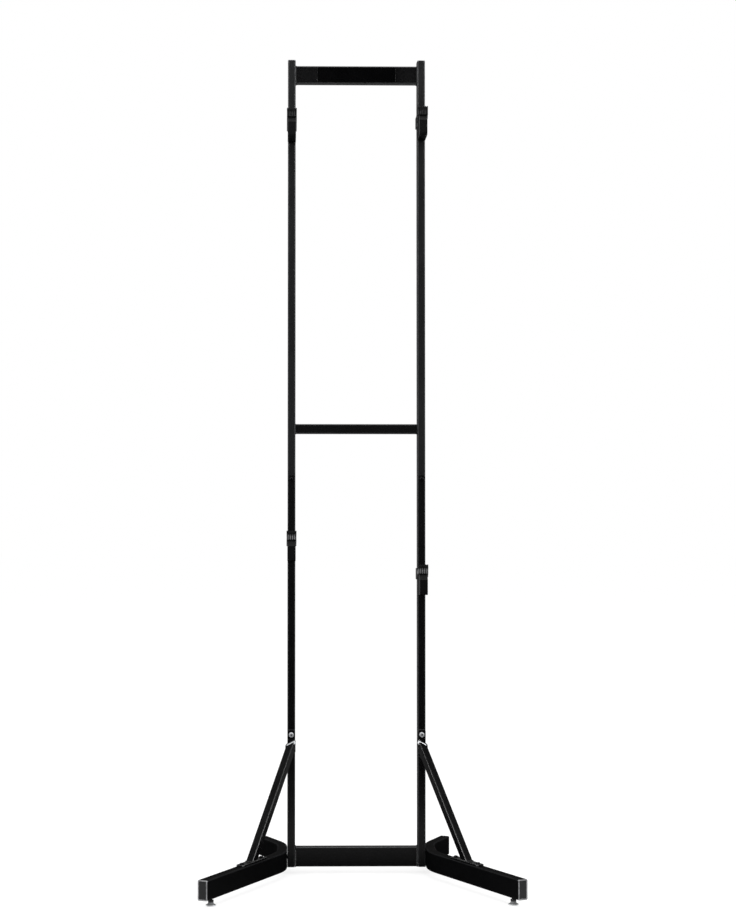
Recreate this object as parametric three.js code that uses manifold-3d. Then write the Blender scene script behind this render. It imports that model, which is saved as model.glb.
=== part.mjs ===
// Two tier rack: a free-standing frame with four cradles that slide and clamp on its uprights.
// Millimetres, +Z up, front towards -Y. The origin is the middle of the footprint, on the floor.
import * as THREE from 'three';
import { mergeVertices } from 'three/addons/utils/BufferGeometryUtils.js';
import Module from 'manifold-3d';

const wasm = await Module();
wasm.setup();

// Whole frame
const TOTAL_HEIGHT = 2080;
const CLEAR_WIDTH = 312;
const GROUND_GAP = 18;
const FIT = 0.3;
const OVERRUN = 30;

// Uprights, each in two lengths over an inner sleeve
const UPRIGHT_WIDTH = 20;
const UPRIGHT_DEPTH = 40;
const TUBE_CORNER = 3;
const TUBE_WALL = 1.5;
const JOINT_HEIGHT = 1014;
const JOINT_SLEEVE_LENGTH = 150;
const JOINT_SCREW_DROP = 10;
const PLUG_FLANGE = 2.5;
const PLUG_DEPTH = 12;
const PLUG_WALL = 2;
const PLUG_EDGE = 0.8;

// Crossbars and top panel
const BAR_DEPTH = 25;
const BASE_BAR_HEIGHT = 50;
const MID_BAR_HEIGHT = 25;
const MID_BAR_RISE = 118.5;
const PANEL_HEIGHT = 45;
const PANEL_DROP = 14;

// Legs, each one bent tube on edge
const LEG_THICKNESS = 25;
const LEG_HEIGHT = 48;
const LEG_FRONT_ANGLE = 26.6;
const LEG_REAR_ANGLE = 25;
const LEG_BEND_RADIUS = 150;
const LEG_FLAT_LENGTH = 51;
const LEG_FRONT_LENGTH = 460;
const LEG_REAR_LENGTH = 117;
const LEG_BOLT_SPACING = 18;
const CAP_FLANGE = 3;
const CAP_RIM = 2.6;
const CAP_SINK = 1;

// Levelling feet
const FOOT_INSET = 38;
const PAD_DIAMETER = 25;
const PAD_RIM = 2.5;
const PAD_NECK_DIAMETER = 13;
const PAD_HEIGHT = 8.5;
const PAD_SHOULDER_SHARES = [0.62, 0.55];
const STEM_DIAMETER = 8;
const STEM_LENGTH = 54;
const STEM_HEX = 13;
const STEM_HEX_HEIGHT = 4.5;

// Braces with their tabs and foot plates
const BRACE_WIDTH = 20;
const BRACE_FOOT_DISTANCE = 216;
const BRACE_TOP_HEIGHT = 319;
const TAB_RISE = 48;
const TAB_HEIGHT = 70;
const TAB_CORNER = 5;
const PLATE_THICKNESS = 4;
const PLATE_LENGTH = 126;
const PLATE_WIDTH = 21;
const PLATE_BOLT_INSET = 12;
const DRAIN_HOLE = 6;
const TAB_BOLT_DROP = 13;

// Fasteners
const M8_SHANK = 8;
const M8_BUTTON = 13.6;
const M8_BUTTON_HEIGHT = 4.4;
const M8_SOCKET = 5;
const M8_HEX = 13;
const M8_HEX_HEIGHT = 5.3;
const M8_WASHER = 16;
const WASHER_THICKNESS = 1.6;
const M8_NUT_HEIGHT = 6.5;
const M6_SHANK = 6;
const M6_BUTTON = 10.5;
const M6_BUTTON_HEIGHT = 3.3;
const M6_SOCKET = 4;
const M6_NUT = 10;
const M6_NUT_HEIGHT = 5;
const BUTTON_SHARES = [[0.46, 0.5], [0.24, 1]];
const SOCKET_DEPTH = 2;
const THREAD_PROUD = 3;

// Cradles
const UPPER_CRADLE_DROPS = { upper_left: 213, upper_right: 207 };
const LOWER_CRADLE_DROPS = { lower_left: 217, lower_right: 302 };
const SLIDE_GAP = 0.4;
const SLEEVE_WALL = 2.2;
const SLEEVE_HEIGHT = 28;
const SLEEVE_RISE = 36;
const ARM_WIDTH = 21;
const ARM_REACH = 77;
const ARM_SHOULDER = 38;
const ARM_CORNER = 7;
const ARM_EDGE = 1.6;
const BACK_THICKNESS = 5;
const SEAT_WIDTH = 50;
const SEAT_RADIUS = 15;
const SEAT_HEIGHT = 48;
const SEAT_FLOOR = 4;
const LIP_THICKNESS = 7;
const LIP_TOP = 72;
const LIP_NECK = 53;
const RUBBER = 3;
const RIB_HEIGHT = 1.4;
const RIB_WIDTH = 2.1;
const SADDLE_WIDTH = 25;
const POCKET_WALL = 3;
const POCKET_DEPTH = 34;
const STUD_DIAMETER = 5;
const STUD_LENGTH = 9;
const STUD_HEIGHT_SHARES = [0.15, 0.43];

// Clamp knobs
const BOSS_DIAMETER = 15;
const BOSS_LENGTH = 6;
const KNOB_DIAMETER = 24;
const KNOB_LENGTH = 17;
const KNOB_EDGE = 1.5;
const KNOB_STANDOFF = 2;
const LOBE_DEPTH_SHARE = 0.09;

// Counts
const ROUND_STEPS = 12;
const PAD_STEPS = 16;
const CORNER_STEPS = 1;
const BEND_STEPS = 3;
const SEAT_STEPS = 3;
const LIP_STEPS = 3;
const RIBS = 6;
const LOBES = 6;
const LOBE_STEPS = 24;
const MERGE_SHARE = 0.0000005;
const CUTTER_SHARE = 3;

// Sizes that follow
const pitch = CLEAR_WIDTH + UPRIGHT_WIDTH;
const uprightX = pitch / 2;
const outerX = CLEAR_WIDTH / 2 + UPRIGHT_WIDTH;
const uprightFrontY = -UPRIGHT_DEPTH / 2;
const frontAngle = THREE.MathUtils.degToRad(LEG_FRONT_ANGLE);
const rearAngle = THREE.MathUtils.degToRad(LEG_REAR_ANGLE);
const legX = outerX + FIT + LEG_THICKNESS / 2;
const legTop = GROUND_GAP + LEG_HEIGHT;
const frontVertexY = uprightFrontY - (legX - uprightX) / Math.tan(frontAngle);
const flatFrontY = frontVertexY + LEG_BEND_RADIUS * Math.tan(frontAngle / 2);
const flatRearY = flatFrontY + LEG_FLAT_LENGTH;
const rearVertexY = flatRearY + LEG_BEND_RADIUS * Math.tan(rearAngle / 2);

// Directions along the front and rear runs of the right leg, outwards, and across them, inwards
const frontRun = new THREE.Vector2(Math.sin(frontAngle), -Math.cos(frontAngle));
const rearRun = new THREE.Vector2(Math.sin(rearAngle), Math.cos(rearAngle));
const frontInward = new THREE.Vector2(-Math.cos(frontAngle), -Math.sin(frontAngle));
const rearInward = new THREE.Vector2(-Math.cos(rearAngle), Math.sin(rearAngle));
const frontEnd = new THREE.Vector2(uprightX, uprightFrontY).addScaledVector(frontRun, LEG_FRONT_LENGTH);
const rearEnd = new THREE.Vector2(legX, rearVertexY).addScaledVector(rearRun, LEG_REAR_LENGTH);

// Finishes
const colours = {
  paint: { color: 0x1b1b1c, roughness: 0.38, metalness: 0.0 },
  plastic: { color: 0x4a4b4d, roughness: 0.55, metalness: 0.0 },
  moulding: { color: 0x161617, roughness: 0.5, metalness: 0.0 },
  rubber: { color: 0x5c5e60, roughness: 0.8, metalness: 0.0 },
  zinc: { color: 0xb9bbbd, roughness: 0.3, metalness: 0.9 },
  pad: { color: 0xd4d5d6, roughness: 0.5, metalness: 0.0 },
};

function finish(name) {
  return new THREE.MeshStandardMaterial(colours[name]);
}

// A closed geometry as a solid, with its shared corners joined.
function solidOf(geometry) {
  const bare = geometry.index ? geometry.toNonIndexed() : geometry.clone();
  bare.deleteAttribute('normal');
  bare.deleteAttribute('uv');
  const merged = mergeVertices(bare, TOTAL_HEIGHT * MERGE_SHARE);
  return new wasm.Manifold(new wasm.Mesh({
    numProp: 3,
    vertProperties: merged.attributes.position.array,
    triVerts: new Uint32Array(merged.index.array),
  }));
}

function geometryOf(solid) {
  const mesh = solid.getMesh();
  const shared = new THREE.BufferGeometry();
  shared.setAttribute('position', new THREE.BufferAttribute(new Float32Array(mesh.vertProperties), 3));
  shared.setIndex(new THREE.BufferAttribute(new Uint32Array(mesh.triVerts), 1));
  const faceted = shared.toNonIndexed();
  faceted.computeVertexNormals();
  return faceted;
}

function join(...geometries) {
  return geometryOf(geometries.map(solidOf).reduce((whole, part) => whole.add(part)));
}

function cut(geometry, ...tools) {
  return geometryOf(tools.map(solidOf).reduce((whole, tool) => whole.subtract(tool), solidOf(geometry)));
}

function roundedRectangle(Kind, width, height, corner) {
  const x = width / 2 - corner;
  const y = height / 2 - corner;
  const outline = new Kind();
  outline.absarc(x, -y, corner, -Math.PI / 2, 0, false);
  outline.absarc(x, y, corner, 0, Math.PI / 2, false);
  outline.absarc(-x, y, corner, Math.PI / 2, Math.PI, false);
  outline.absarc(-x, -y, corner, Math.PI, Math.PI * 1.5, false);
  outline.closePath();
  return outline;
}

// A plain extrusion from z = 0 up.
function prism(shape, length, steps = CORNER_STEPS) {
  return new THREE.ExtrudeGeometry(shape, { depth: length, bevelEnabled: false, curveSegments: steps });
}

// An extrusion of the same outline and length with its two rims rounded off.
function roundedPrism(shape, length, edge, rings, steps = CORNER_STEPS) {
  const geometry = new THREE.ExtrudeGeometry(shape, {
    depth: length - 2 * edge,
    bevelEnabled: true,
    bevelThickness: edge,
    bevelSize: edge,
    bevelOffset: -edge,
    bevelSegments: rings,
    curveSegments: steps,
  });
  return geometry.translate(0, 0, edge);
}

// A rectangular tube, open at both ends, from z = 0 up.
function tube(width, depth, wall, length) {
  const shape = roundedRectangle(THREE.Shape, width, depth, TUBE_CORNER);
  shape.holes.push(roundedRectangle(THREE.Path, width - 2 * wall, depth - 2 * wall, TUBE_CORNER - wall / 2));
  return prism(shape, length);
}

// A tube between the uprights, centred on x = 0.
function crossTube(height, wall) {
  const length = CLEAR_WIDTH - 2 * FIT;
  return tube(height, BAR_DEPTH, wall, length).rotateY(Math.PI / 2).translate(-length / 2, 0, 0);
}

// A round bar along Z, from z = low to z = high.
function rod(diameter, low, high, steps = ROUND_STEPS) {
  const bar = new THREE.CylinderGeometry(diameter / 2, diameter / 2, high - low, steps);
  return bar.rotateX(Math.PI / 2).translate(0, 0, (low + high) / 2);
}

// A hexagonal bar along Z, given across its flats.
function hexagon(acrossFlats, low, high) {
  return rod(acrossFlats / Math.cos(Math.PI / 6), low, high, 6);
}

// A turned piece about Z, from a profile of [radius, height] pairs that climbs.
function turned(profile, steps = ROUND_STEPS) {
  const points = profile.map(([radius, height]) => new THREE.Vector2(radius, height));
  return new THREE.LatheGeometry(points, steps).rotateX(Math.PI / 2);
}

// A round head screw whose head sits on z = 0 and whose shank goes down.
function buttonScrew(shank, head, headHeight, socket, length) {
  const body = turned([
    [0, -length],
    [shank / 2, -length],
    [shank / 2, 0],
    [head / 2, 0],
    ...BUTTON_SHARES.map(([across, up]) => [head * across, headHeight * up]),
    [0, headHeight],
  ]);
  return cut(body, hexagon(socket, headHeight - SOCKET_DEPTH, headHeight + SOCKET_DEPTH));
}

// A hexagon head bolt with its washer, seated on z = 0.
function hexBolt(length) {
  return join(
    rod(M8_SHANK, -length, WASHER_THICKNESS),
    rod(M8_WASHER, 0, WASHER_THICKNESS),
    hexagon(M8_HEX, WASHER_THICKNESS, WASHER_THICKNESS + M8_HEX_HEIGHT),
  );
}

// A fixed nut whose seat is z = 0, sunk by half a wall so that it becomes one with the tube it is in.
function fixedNut(acrossFlats, height) {
  return hexagon(acrossFlats, -TUBE_WALL / 2, height);
}

function meshOf(name, geometry, material) {
  const mesh = new THREE.Mesh(geometry, finish(material));
  mesh.name = name;
  return mesh;
}

// Turns a geometry so that its own axes lie along the given ones.
function along(geometry, xAxis, yAxis, zAxis) {
  return geometry.applyMatrix4(new THREE.Matrix4().makeBasis(xAxis, yAxis, zAxis));
}

const axisX = new THREE.Vector3(1, 0, 0);
const axisY = new THREE.Vector3(0, 1, 0);
const axisZ = new THREE.Vector3(0, 0, 1);

// Stands a geometry made along Z on its axis along -Y, so that its head faces the front.
function facingFront(geometry) {
  return geometry.rotateX(Math.PI / 2);
}

// Heights that the frame's pieces share
const panelTop = TOTAL_HEIGHT - PANEL_DROP;
const plugSeat = PLUG_FLANGE + FIT;
const screwHeight = JOINT_HEIGHT - JOINT_SCREW_DROP;
const tabTop = BRACE_TOP_HEIGHT + TAB_RISE;
const tabBoltHeight = tabTop - TAB_BOLT_DROP;
const legBoltHeight = GROUND_GAP + LEG_HEIGHT / 2;
const legBoltPlaces = { front: -LEG_BOLT_SPACING / 2, rear: LEG_BOLT_SPACING / 2 };
const m8Bore = M8_SHANK + 2 * FIT;
const m6Bore = M6_SHANK + 2 * FIT;
const tabFace = UPRIGHT_DEPTH / 2 + FIT + PLATE_THICKNESS;
const plateTop = legTop + FIT + PLATE_THICKNESS;

function drillFront(diameter, height) {
  return facingFront(rod(diameter, 0, OVERRUN)).translate(0, uprightFrontY + OVERRUN / 2, height);
}

// The lower length of an upright, with fixed nuts for the brace bolt and the two leg bolts.
function lowerUpright() {
  const low = GROUND_GAP + plugSeat;
  const length = JOINT_HEIGHT - FIT / 2 - low;
  const body = tube(UPRIGHT_WIDTH, UPRIGHT_DEPTH, TUBE_WALL, length).translate(0, 0, low);
  const sideWall = UPRIGHT_WIDTH / 2 - TUBE_WALL;
  const frontWall = uprightFrontY + TUBE_WALL;
  const sideNuts = Object.values(legBoltPlaces).map((y) => {
    return fixedNut(M8_HEX, M8_NUT_HEIGHT).rotateY(-Math.PI / 2).translate(sideWall, y, legBoltHeight);
  });
  const braceNut = fixedNut(M8_HEX, M8_NUT_HEIGHT).rotateX(-Math.PI / 2);
  braceNut.translate(0, frontWall, tabBoltHeight);
  const sideBores = Object.values(legBoltPlaces).map((y) => {
    return rod(m8Bore, 0, OVERRUN).rotateY(Math.PI / 2).translate(0, y, legBoltHeight);
  });
  const bores = [drillFront(m6Bore, screwHeight), drillFront(m8Bore, tabBoltHeight), ...sideBores];
  return cut(join(body, braceNut, ...sideNuts), ...bores);
}

function upperUpright() {
  const low = JOINT_HEIGHT + FIT / 2;
  const length = TOTAL_HEIGHT - plugSeat - low;
  return tube(UPRIGHT_WIDTH, UPRIGHT_DEPTH, TUBE_WALL, length).translate(0, 0, low);
}

function jointSleeve() {
  const gap = TUBE_WALL + FIT;
  const body = tube(UPRIGHT_WIDTH - 2 * gap, UPRIGHT_DEPTH - 2 * gap, TUBE_WALL, JOINT_SLEEVE_LENGTH);
  body.translate(0, 0, JOINT_HEIGHT - JOINT_SLEEVE_LENGTH / 2);
  const wall = uprightFrontY + gap + TUBE_WALL;
  const seat = fixedNut(M6_NUT, M6_NUT_HEIGHT).rotateX(-Math.PI / 2).translate(0, wall, screwHeight);
  return cut(join(body, seat), drillFront(m6Bore, screwHeight));
}

// A plug for a tube's end: a flange on z = 0 and a hollow skirt that goes down into the tube.
function plug(width, depth, sunk) {
  const gap = TUBE_WALL + FIT;
  const corner = TUBE_CORNER - TUBE_WALL / 2;
  const skirt = roundedRectangle(THREE.Shape, width - 2 * gap, depth - 2 * gap, TUBE_CORNER);
  const bore = 2 * (gap + PLUG_WALL);
  skirt.holes.push(roundedRectangle(THREE.Path, width - bore, depth - bore, corner - PLUG_WALL / 4));
  const thickness = sunk ? CAP_FLANGE : PLUG_FLANGE;
  const outline = roundedRectangle(THREE.Shape, width, depth, TUBE_CORNER);
  const flange = roundedPrism(outline, thickness, PLUG_EDGE, 1);
  const whole = join(flange, prism(skirt, PLUG_DEPTH + FIT).translate(0, 0, -PLUG_DEPTH));
  if (!sunk) return whole;
  const face = roundedRectangle(THREE.Shape, width - 2 * CAP_RIM, depth - 2 * CAP_RIM, corner);
  return cut(whole, prism(face, OVERRUN).translate(0, 0, CAP_FLANGE - CAP_SINK));
}

// The leg seen from above: half a thickness either side of its centre line, its ends run on.
function legPlan(half, runOn) {
  const shape = new THREE.Shape();
  const bendX = legX + LEG_BEND_RADIUS;
  const inner = LEG_BEND_RADIUS + half;
  const outer = LEG_BEND_RADIUS - half;
  const front = frontEnd.clone().addScaledVector(frontRun, runOn);
  const rear = rearEnd.clone().addScaledVector(rearRun, runOn);
  const start = front.clone().addScaledVector(frontInward, half);
  const turn = rear.clone().addScaledVector(rearInward, half);
  const back = rear.clone().addScaledVector(rearInward, -half);
  const last = front.clone().addScaledVector(frontInward, -half);
  shape.absarc(bendX, flatFrontY, inner, Math.PI + frontAngle, Math.PI, true);
  shape.absarc(bendX, flatRearY, inner, Math.PI, Math.PI - rearAngle, true);
  shape.lineTo(turn.x, turn.y);
  shape.lineTo(back.x, back.y);
  shape.absarc(bendX, flatRearY, outer, Math.PI - rearAngle, Math.PI, false);
  shape.absarc(bendX, flatFrontY, outer, Math.PI, Math.PI + frontAngle, false);
  shape.lineTo(last.x, last.y);
  shape.lineTo(start.x, start.y);
  shape.closePath();
  return shape;
}

// A block that takes off all that runs on past an end of the leg.
function endCutter(end, run) {
  const block = new THREE.BoxGeometry(LEG_THICKNESS * CUTTER_SHARE, 2 * OVERRUN, LEG_HEIGHT * CUTTER_SHARE);
  const middle = end.clone().addScaledVector(run, OVERRUN);
  block.rotateZ(Math.atan2(run.y, run.x) - Math.PI / 2);
  return block.translate(middle.x, middle.y, legTop / 2);
}

const feet = {
  front: frontEnd.clone().addScaledVector(frontRun, -FOOT_INSET),
  rear: rearEnd.clone().addScaledVector(rearRun, -FOOT_INSET),
};
const boltOffset = PLATE_LENGTH / 2 - PLATE_BOLT_INSET;
const plateBoltRuns = [BRACE_FOOT_DISTANCE - boltOffset, BRACE_FOOT_DISTANCE + boltOffset];

// A place on the leg's front run, by its distance from the middle of the upright's front face.
function onFrontRun(distance) {
  return new THREE.Vector2(uprightX, uprightFrontY).addScaledVector(frontRun, distance);
}

// The bent tube with fixed nuts for its feet, below, and for the brace's two bolts, above.
function leg() {
  const half = LEG_THICKNESS / 2;
  const outside = roundedPrism(legPlan(half, OVERRUN), LEG_HEIGHT, TUBE_CORNER, 2, BEND_STEPS);
  const height = LEG_HEIGHT - 2 * TUBE_WALL;
  const corner = TUBE_CORNER - TUBE_WALL / 2;
  const inside = roundedPrism(legPlan(half - TUBE_WALL, 2 * OVERRUN), height, corner, 2, BEND_STEPS);
  const shell = cut(
    outside.translate(0, 0, GROUND_GAP),
    inside.translate(0, 0, GROUND_GAP + TUBE_WALL),
    endCutter(frontEnd, frontRun),
    endCutter(rearEnd, rearRun),
  );
  const middle = GROUND_GAP + LEG_HEIGHT / 2;
  const nuts = [];
  const bores = [];
  Object.values(feet).forEach((foot) => {
    nuts.push(fixedNut(M8_HEX, M8_NUT_HEIGHT).translate(foot.x, foot.y, GROUND_GAP + TUBE_WALL));
    bores.push(rod(m8Bore, 0, middle).translate(foot.x, foot.y, 0));
  });
  plateBoltRuns.map(onFrontRun).forEach((place) => {
    const hung = fixedNut(M6_NUT, M6_NUT_HEIGHT).rotateX(Math.PI);
    nuts.push(hung.translate(place.x, place.y, legTop - TUBE_WALL));
    bores.push(rod(m6Bore, middle, legTop + OVERRUN).translate(place.x, place.y, 0));
  });
  Object.values(legBoltPlaces).forEach((y) => {
    bores.push(rod(m8Bore, -OVERRUN, OVERRUN).rotateY(Math.PI / 2).translate(legX, y, legBoltHeight));
  });
  return cut(join(shell, ...nuts), ...bores);
}

// The bolt plate of the brace's top, flat against the upright.
function braceTab() {
  const shape = roundedRectangle(THREE.Shape, UPRIGHT_WIDTH, TAB_HEIGHT, TAB_CORNER);
  const plate = facingFront(prism(shape, PLATE_THICKNESS));
  return plate.translate(uprightX, uprightFrontY - FIT, tabTop - TAB_HEIGHT / 2);
}

// The bolt plate of the brace's foot, along the top of the leg.
function braceFoot() {
  const shape = roundedRectangle(THREE.Shape, PLATE_WIDTH, PLATE_LENGTH, TAB_CORNER);
  const place = onFrontRun(BRACE_FOOT_DISTANCE);
  return prism(shape, PLATE_THICKNESS).rotateZ(frontAngle).translate(place.x, place.y, legTop + FIT);
}

// The square brace in the front run's own upright plane, mitred and welded to its two bolt plates.
function brace() {
  const foot = onFrontRun(BRACE_FOOT_DISTANCE);
  const top = onFrontRun((tabFace - UPRIGHT_DEPTH / 2) / Math.cos(frontAngle));
  const low = new THREE.Vector3(foot.x, foot.y, plateTop);
  const high = new THREE.Vector3(top.x, top.y, BRACE_TOP_HEIGHT);
  const axis = high.clone().sub(low);
  const length = axis.length();
  axis.normalize();
  const side = new THREE.Vector3(-frontInward.x, -frontInward.y, 0);
  const face = axis.clone().cross(side);
  const body = tube(BRACE_WIDTH, BRACE_WIDTH, TUBE_WALL, length + 2 * OVERRUN).translate(0, 0, -OVERRUN);
  along(body, side, face, axis).translate(low.x, low.y, low.z);
  const reach = 2 * BRACE_WIDTH * CUTTER_SHARE;
  const behind = new THREE.BoxGeometry(reach, reach, 2 * reach);
  const under = new THREE.BoxGeometry(reach, reach, reach);
  const sunk = PLATE_THICKNESS / 2;
  const mitred = cut(
    body,
    behind.translate(high.x, sunk - tabFace + reach / 2, high.z),
    under.translate(low.x, low.y, plateTop - sunk - reach / 2),
  );
  const bolts = plateBoltRuns.map(onFrontRun).map((place) => {
    return rod(m6Bore, -OVERRUN, OVERRUN).translate(place.x, place.y, legTop);
  });
  const drain = rod(DRAIN_HOLE, -OVERRUN / 2, OVERRUN / 4).translate(low.x, low.y, plateTop);
  const tabBore = drillFront(m8Bore, tabBoltHeight).translate(uprightX, 0, 0);
  return cut(join(mitred, braceTab(), braceFoot()), tabBore, drain, ...bolts);
}

function footPad() {
  const socket = STEM_DIAMETER / 2 + FIT;
  const [across, up] = PAD_SHOULDER_SHARES;
  return turned([
    [0, 0],
    [PAD_DIAMETER / 2, 0],
    [PAD_DIAMETER / 2, PAD_RIM],
    [PAD_NECK_DIAMETER * across, PAD_HEIGHT * up],
    [PAD_NECK_DIAMETER / 2, PAD_HEIGHT],
    [socket, PAD_HEIGHT],
    [socket, PAD_RIM],
    [0, PAD_RIM],
  ], PAD_STEPS);
}

function footStem() {
  const low = PAD_RIM + FIT;
  const collar = PAD_HEIGHT + FIT;
  const grip = hexagon(STEM_HEX, collar, collar + STEM_HEX_HEIGHT);
  return join(rod(STEM_DIAMETER, low, low + STEM_LENGTH), grip);
}

// The seat and lip seen from the side, at a distance off the arm's own surface, from back to front.
const lipFrontU = BACK_THICKNESS + SEAT_WIDTH + LIP_THICKNESS;

function rail(off) {
  const points = [new THREE.Vector2(BACK_THICKNESS + off, SLEEVE_RISE + SLEEVE_HEIGHT)];
  const arc = (u, h, radius, from, to, steps) => {
    for (let step = 0; step <= steps; step += 1) {
      const angle = from + (to - from) * (step / steps);
      points.push(new THREE.Vector2(u + radius * Math.cos(angle), h + radius * Math.sin(angle)));
    }
  };
  const seatBack = BACK_THICKNESS + SEAT_RADIUS;
  const seatFront = BACK_THICKNESS + SEAT_WIDTH - SEAT_RADIUS;
  const seatH = SEAT_HEIGHT + SEAT_RADIUS;
  const bottom = Math.PI * 1.5;
  const lip = LIP_THICKNESS / 2;
  arc(seatBack, seatH, SEAT_RADIUS - off, Math.PI, bottom, SEAT_STEPS);
  arc(seatFront, seatH, SEAT_RADIUS - off, bottom, Math.PI * 2, SEAT_STEPS);
  arc(lipFrontU - lip, LIP_TOP - lip, lip + off, Math.PI, 0, LIP_STEPS);
  points.push(new THREE.Vector2(lipFrontU + off, LIP_NECK));
  return points;
}

// Extrudes a side view, whose x runs forward and y up, to a width centred on the upright.
function sideways(shape, width, edge = 0) {
  const geometry = edge ? roundedPrism(shape, width, edge, 1) : prism(shape, width);
  geometry.translate(0, 0, -width / 2);
  along(geometry, axisY.clone().negate(), axisZ, axisX.clone().negate());
  return geometry.translate(0, -(UPRIGHT_DEPTH / 2 + SLIDE_GAP + SLEEVE_WALL), 0);
}

const sleeveTop = SLEEVE_RISE + SLEEVE_HEIGHT;
const sleeveWidth = UPRIGHT_WIDTH + 2 * (SLIDE_GAP + SLEEVE_WALL);
const sleeveDepth = UPRIGHT_DEPTH + 2 * (SLIDE_GAP + SLEEVE_WALL);
const clampHeight = SLEEVE_RISE + SLEEVE_HEIGHT / 2;
const armStudHeights = STUD_HEIGHT_SHARES.map((share) => SLEEVE_RISE + SLEEVE_HEIGHT * share);
const sleeveInside = UPRIGHT_DEPTH / 2 + SLIDE_GAP;

// The studs that stand out of the sleeve's front wall and hold the arm, thicker by twice grow.
function armStuds(grow) {
  return armStudHeights.map((height) => {
    const stud = rod(STUD_DIAMETER + 2 * grow, SLEEVE_WALL / 2, SLEEVE_WALL + STUD_LENGTH + grow);
    return facingFront(stud).translate(0, -sleeveInside, height);
  });
}

function cradleSleeve() {
  const body = tube(sleeveWidth, sleeveDepth, SLEEVE_WALL, SLEEVE_HEIGHT).translate(0, 0, SLEEVE_RISE);
  const boss = rod(BOSS_DIAMETER, -BOSS_LENGTH, SLEEVE_WALL / 2);
  facingFront(boss).translate(0, sleeveDepth / 2, clampHeight);
  const bore = facingFront(rod(m8Bore, -OVERRUN, 0)).translate(0, UPRIGHT_DEPTH / 2, clampHeight);
  return cut(join(body, boss, ...armStuds(0)), bore);
}

// The moulded arm: a slim body with open pockets below, and a wider seat and lip on top.
function cradleArm() {
  const top = rail(0);
  const body = new THREE.Shape();
  body.setFromPoints(top);
  body.lineTo(ARM_REACH, ARM_SHOULDER);
  body.lineTo(ARM_REACH, ARM_CORNER);
  body.absarc(ARM_REACH - ARM_CORNER, ARM_CORNER, ARM_CORNER, 0, -Math.PI / 2, true);
  body.lineTo(-SLEEVE_WALL, 0);
  body.lineTo(-SLEEVE_WALL, SLEEVE_RISE - FIT);
  body.lineTo(FIT, SLEEVE_RISE - FIT);
  body.lineTo(FIT, sleeveTop);
  body.closePath();
  const head = new THREE.Shape();
  head.setFromPoints(top);
  head.lineTo(lipFrontU - LIP_THICKNESS, SEAT_HEIGHT - SEAT_FLOOR);
  head.lineTo(FIT, SEAT_HEIGHT - SEAT_FLOOR);
  head.lineTo(FIT, sleeveTop);
  head.closePath();
  const pocketWidth = ARM_WIDTH - 2 * POCKET_WALL;
  const first = STUD_LENGTH + POCKET_WALL;
  const last = ARM_REACH - POCKET_WALL;
  const middle = (first + last) / 2;
  const spans = [[first, middle - POCKET_WALL / 2], [middle + POCKET_WALL / 2, last]];
  const pockets = spans.map(([near, far]) => {
    const shape = new THREE.Shape();
    shape.moveTo(near, -OVERRUN);
    shape.lineTo(far, -OVERRUN);
    shape.lineTo(far, POCKET_DEPTH);
    shape.lineTo(near, POCKET_DEPTH);
    shape.closePath();
    return sideways(shape, pocketWidth);
  });
  const whole = join(sideways(body, ARM_WIDTH, ARM_EDGE), sideways(head, SADDLE_WIDTH));
  return cut(whole, ...pockets, ...armStuds(FIT));
}

// The rubber over the seat and lip, with ribs that run from back to front.
function cradleSaddle() {
  const layer = (low, high, width) => {
    const shape = new THREE.Shape();
    shape.setFromPoints([...rail(low), ...rail(high).reverse()]);
    return sideways(shape, width);
  };
  const ribPitch = (SADDLE_WIDTH - RIB_WIDTH) / (RIBS - 1);
  const ribs = Array.from({ length: RIBS }, (_, index) => {
    const x = -(SADDLE_WIDTH - RIB_WIDTH) / 2 + index * ribPitch;
    return layer(FIT + RUBBER / 2, FIT + RUBBER + RIB_HEIGHT, RIB_WIDTH).translate(x, 0, 0);
  });
  return join(layer(FIT, FIT + RUBBER, SADDLE_WIDTH), ...ribs);
}

function clampKnob() {
  const shape = new THREE.Shape();
  const points = Array.from({ length: LOBE_STEPS }, (_, index) => {
    const angle = (index / LOBE_STEPS) * Math.PI * 2;
    const radius = (KNOB_DIAMETER / 2) * (1 - LOBE_DEPTH_SHARE * (1 - Math.cos(angle * LOBES)));
    return new THREE.Vector2(radius * Math.cos(angle), radius * Math.sin(angle));
  });
  shape.setFromPoints(points);
  const near = sleeveDepth / 2 + BOSS_LENGTH + KNOB_STANDOFF;
  const grip = roundedPrism(shape, KNOB_LENGTH, KNOB_EDGE, 1).translate(0, 0, near);
  const stud = rod(M8_SHANK, UPRIGHT_DEPTH / 2 + FIT, near + KNOB_EDGE);
  return join(grip, stud).rotateX(-Math.PI / 2);
}

const rack = new THREE.Group();

// Frame between the two sides
const baseBar = meshOf('base_crossbar', crossTube(BASE_BAR_HEIGHT, TUBE_WALL), 'paint');
baseBar.position.z = GROUND_GAP + BASE_BAR_HEIGHT / 2;
const midBar = meshOf('mid_crossbar', crossTube(MID_BAR_HEIGHT, TUBE_WALL), 'paint');
midBar.position.z = JOINT_HEIGHT + MID_BAR_RISE;
const panel = meshOf('top_panel', crossTube(PANEL_HEIGHT, TUBE_WALL), 'paint');
panel.position.z = panelTop - PANEL_HEIGHT / 2;
rack.add(baseBar, midBar, panel);

const sides = { left: -1, right: 1 };

// Bolt lengths, each through what it clamps, its nut and a few threads more
const legBoltSeat = legX + LEG_THICKNESS / 2 + FIT;
const legBoltLength = legBoltSeat - (outerX - TUBE_WALL) + M8_NUT_HEIGHT + THREAD_PROUD;
const jointScrewLength = 2 * (FIT + TUBE_WALL) + M6_NUT_HEIGHT + THREAD_PROUD;
const braceTopLength = 2 * FIT + PLATE_THICKNESS + TUBE_WALL + M8_NUT_HEIGHT + THREAD_PROUD;
const braceFootLength = 2 * FIT + PLATE_THICKNESS + TUBE_WALL + M6_NUT_HEIGHT + THREAD_PROUD;

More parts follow.
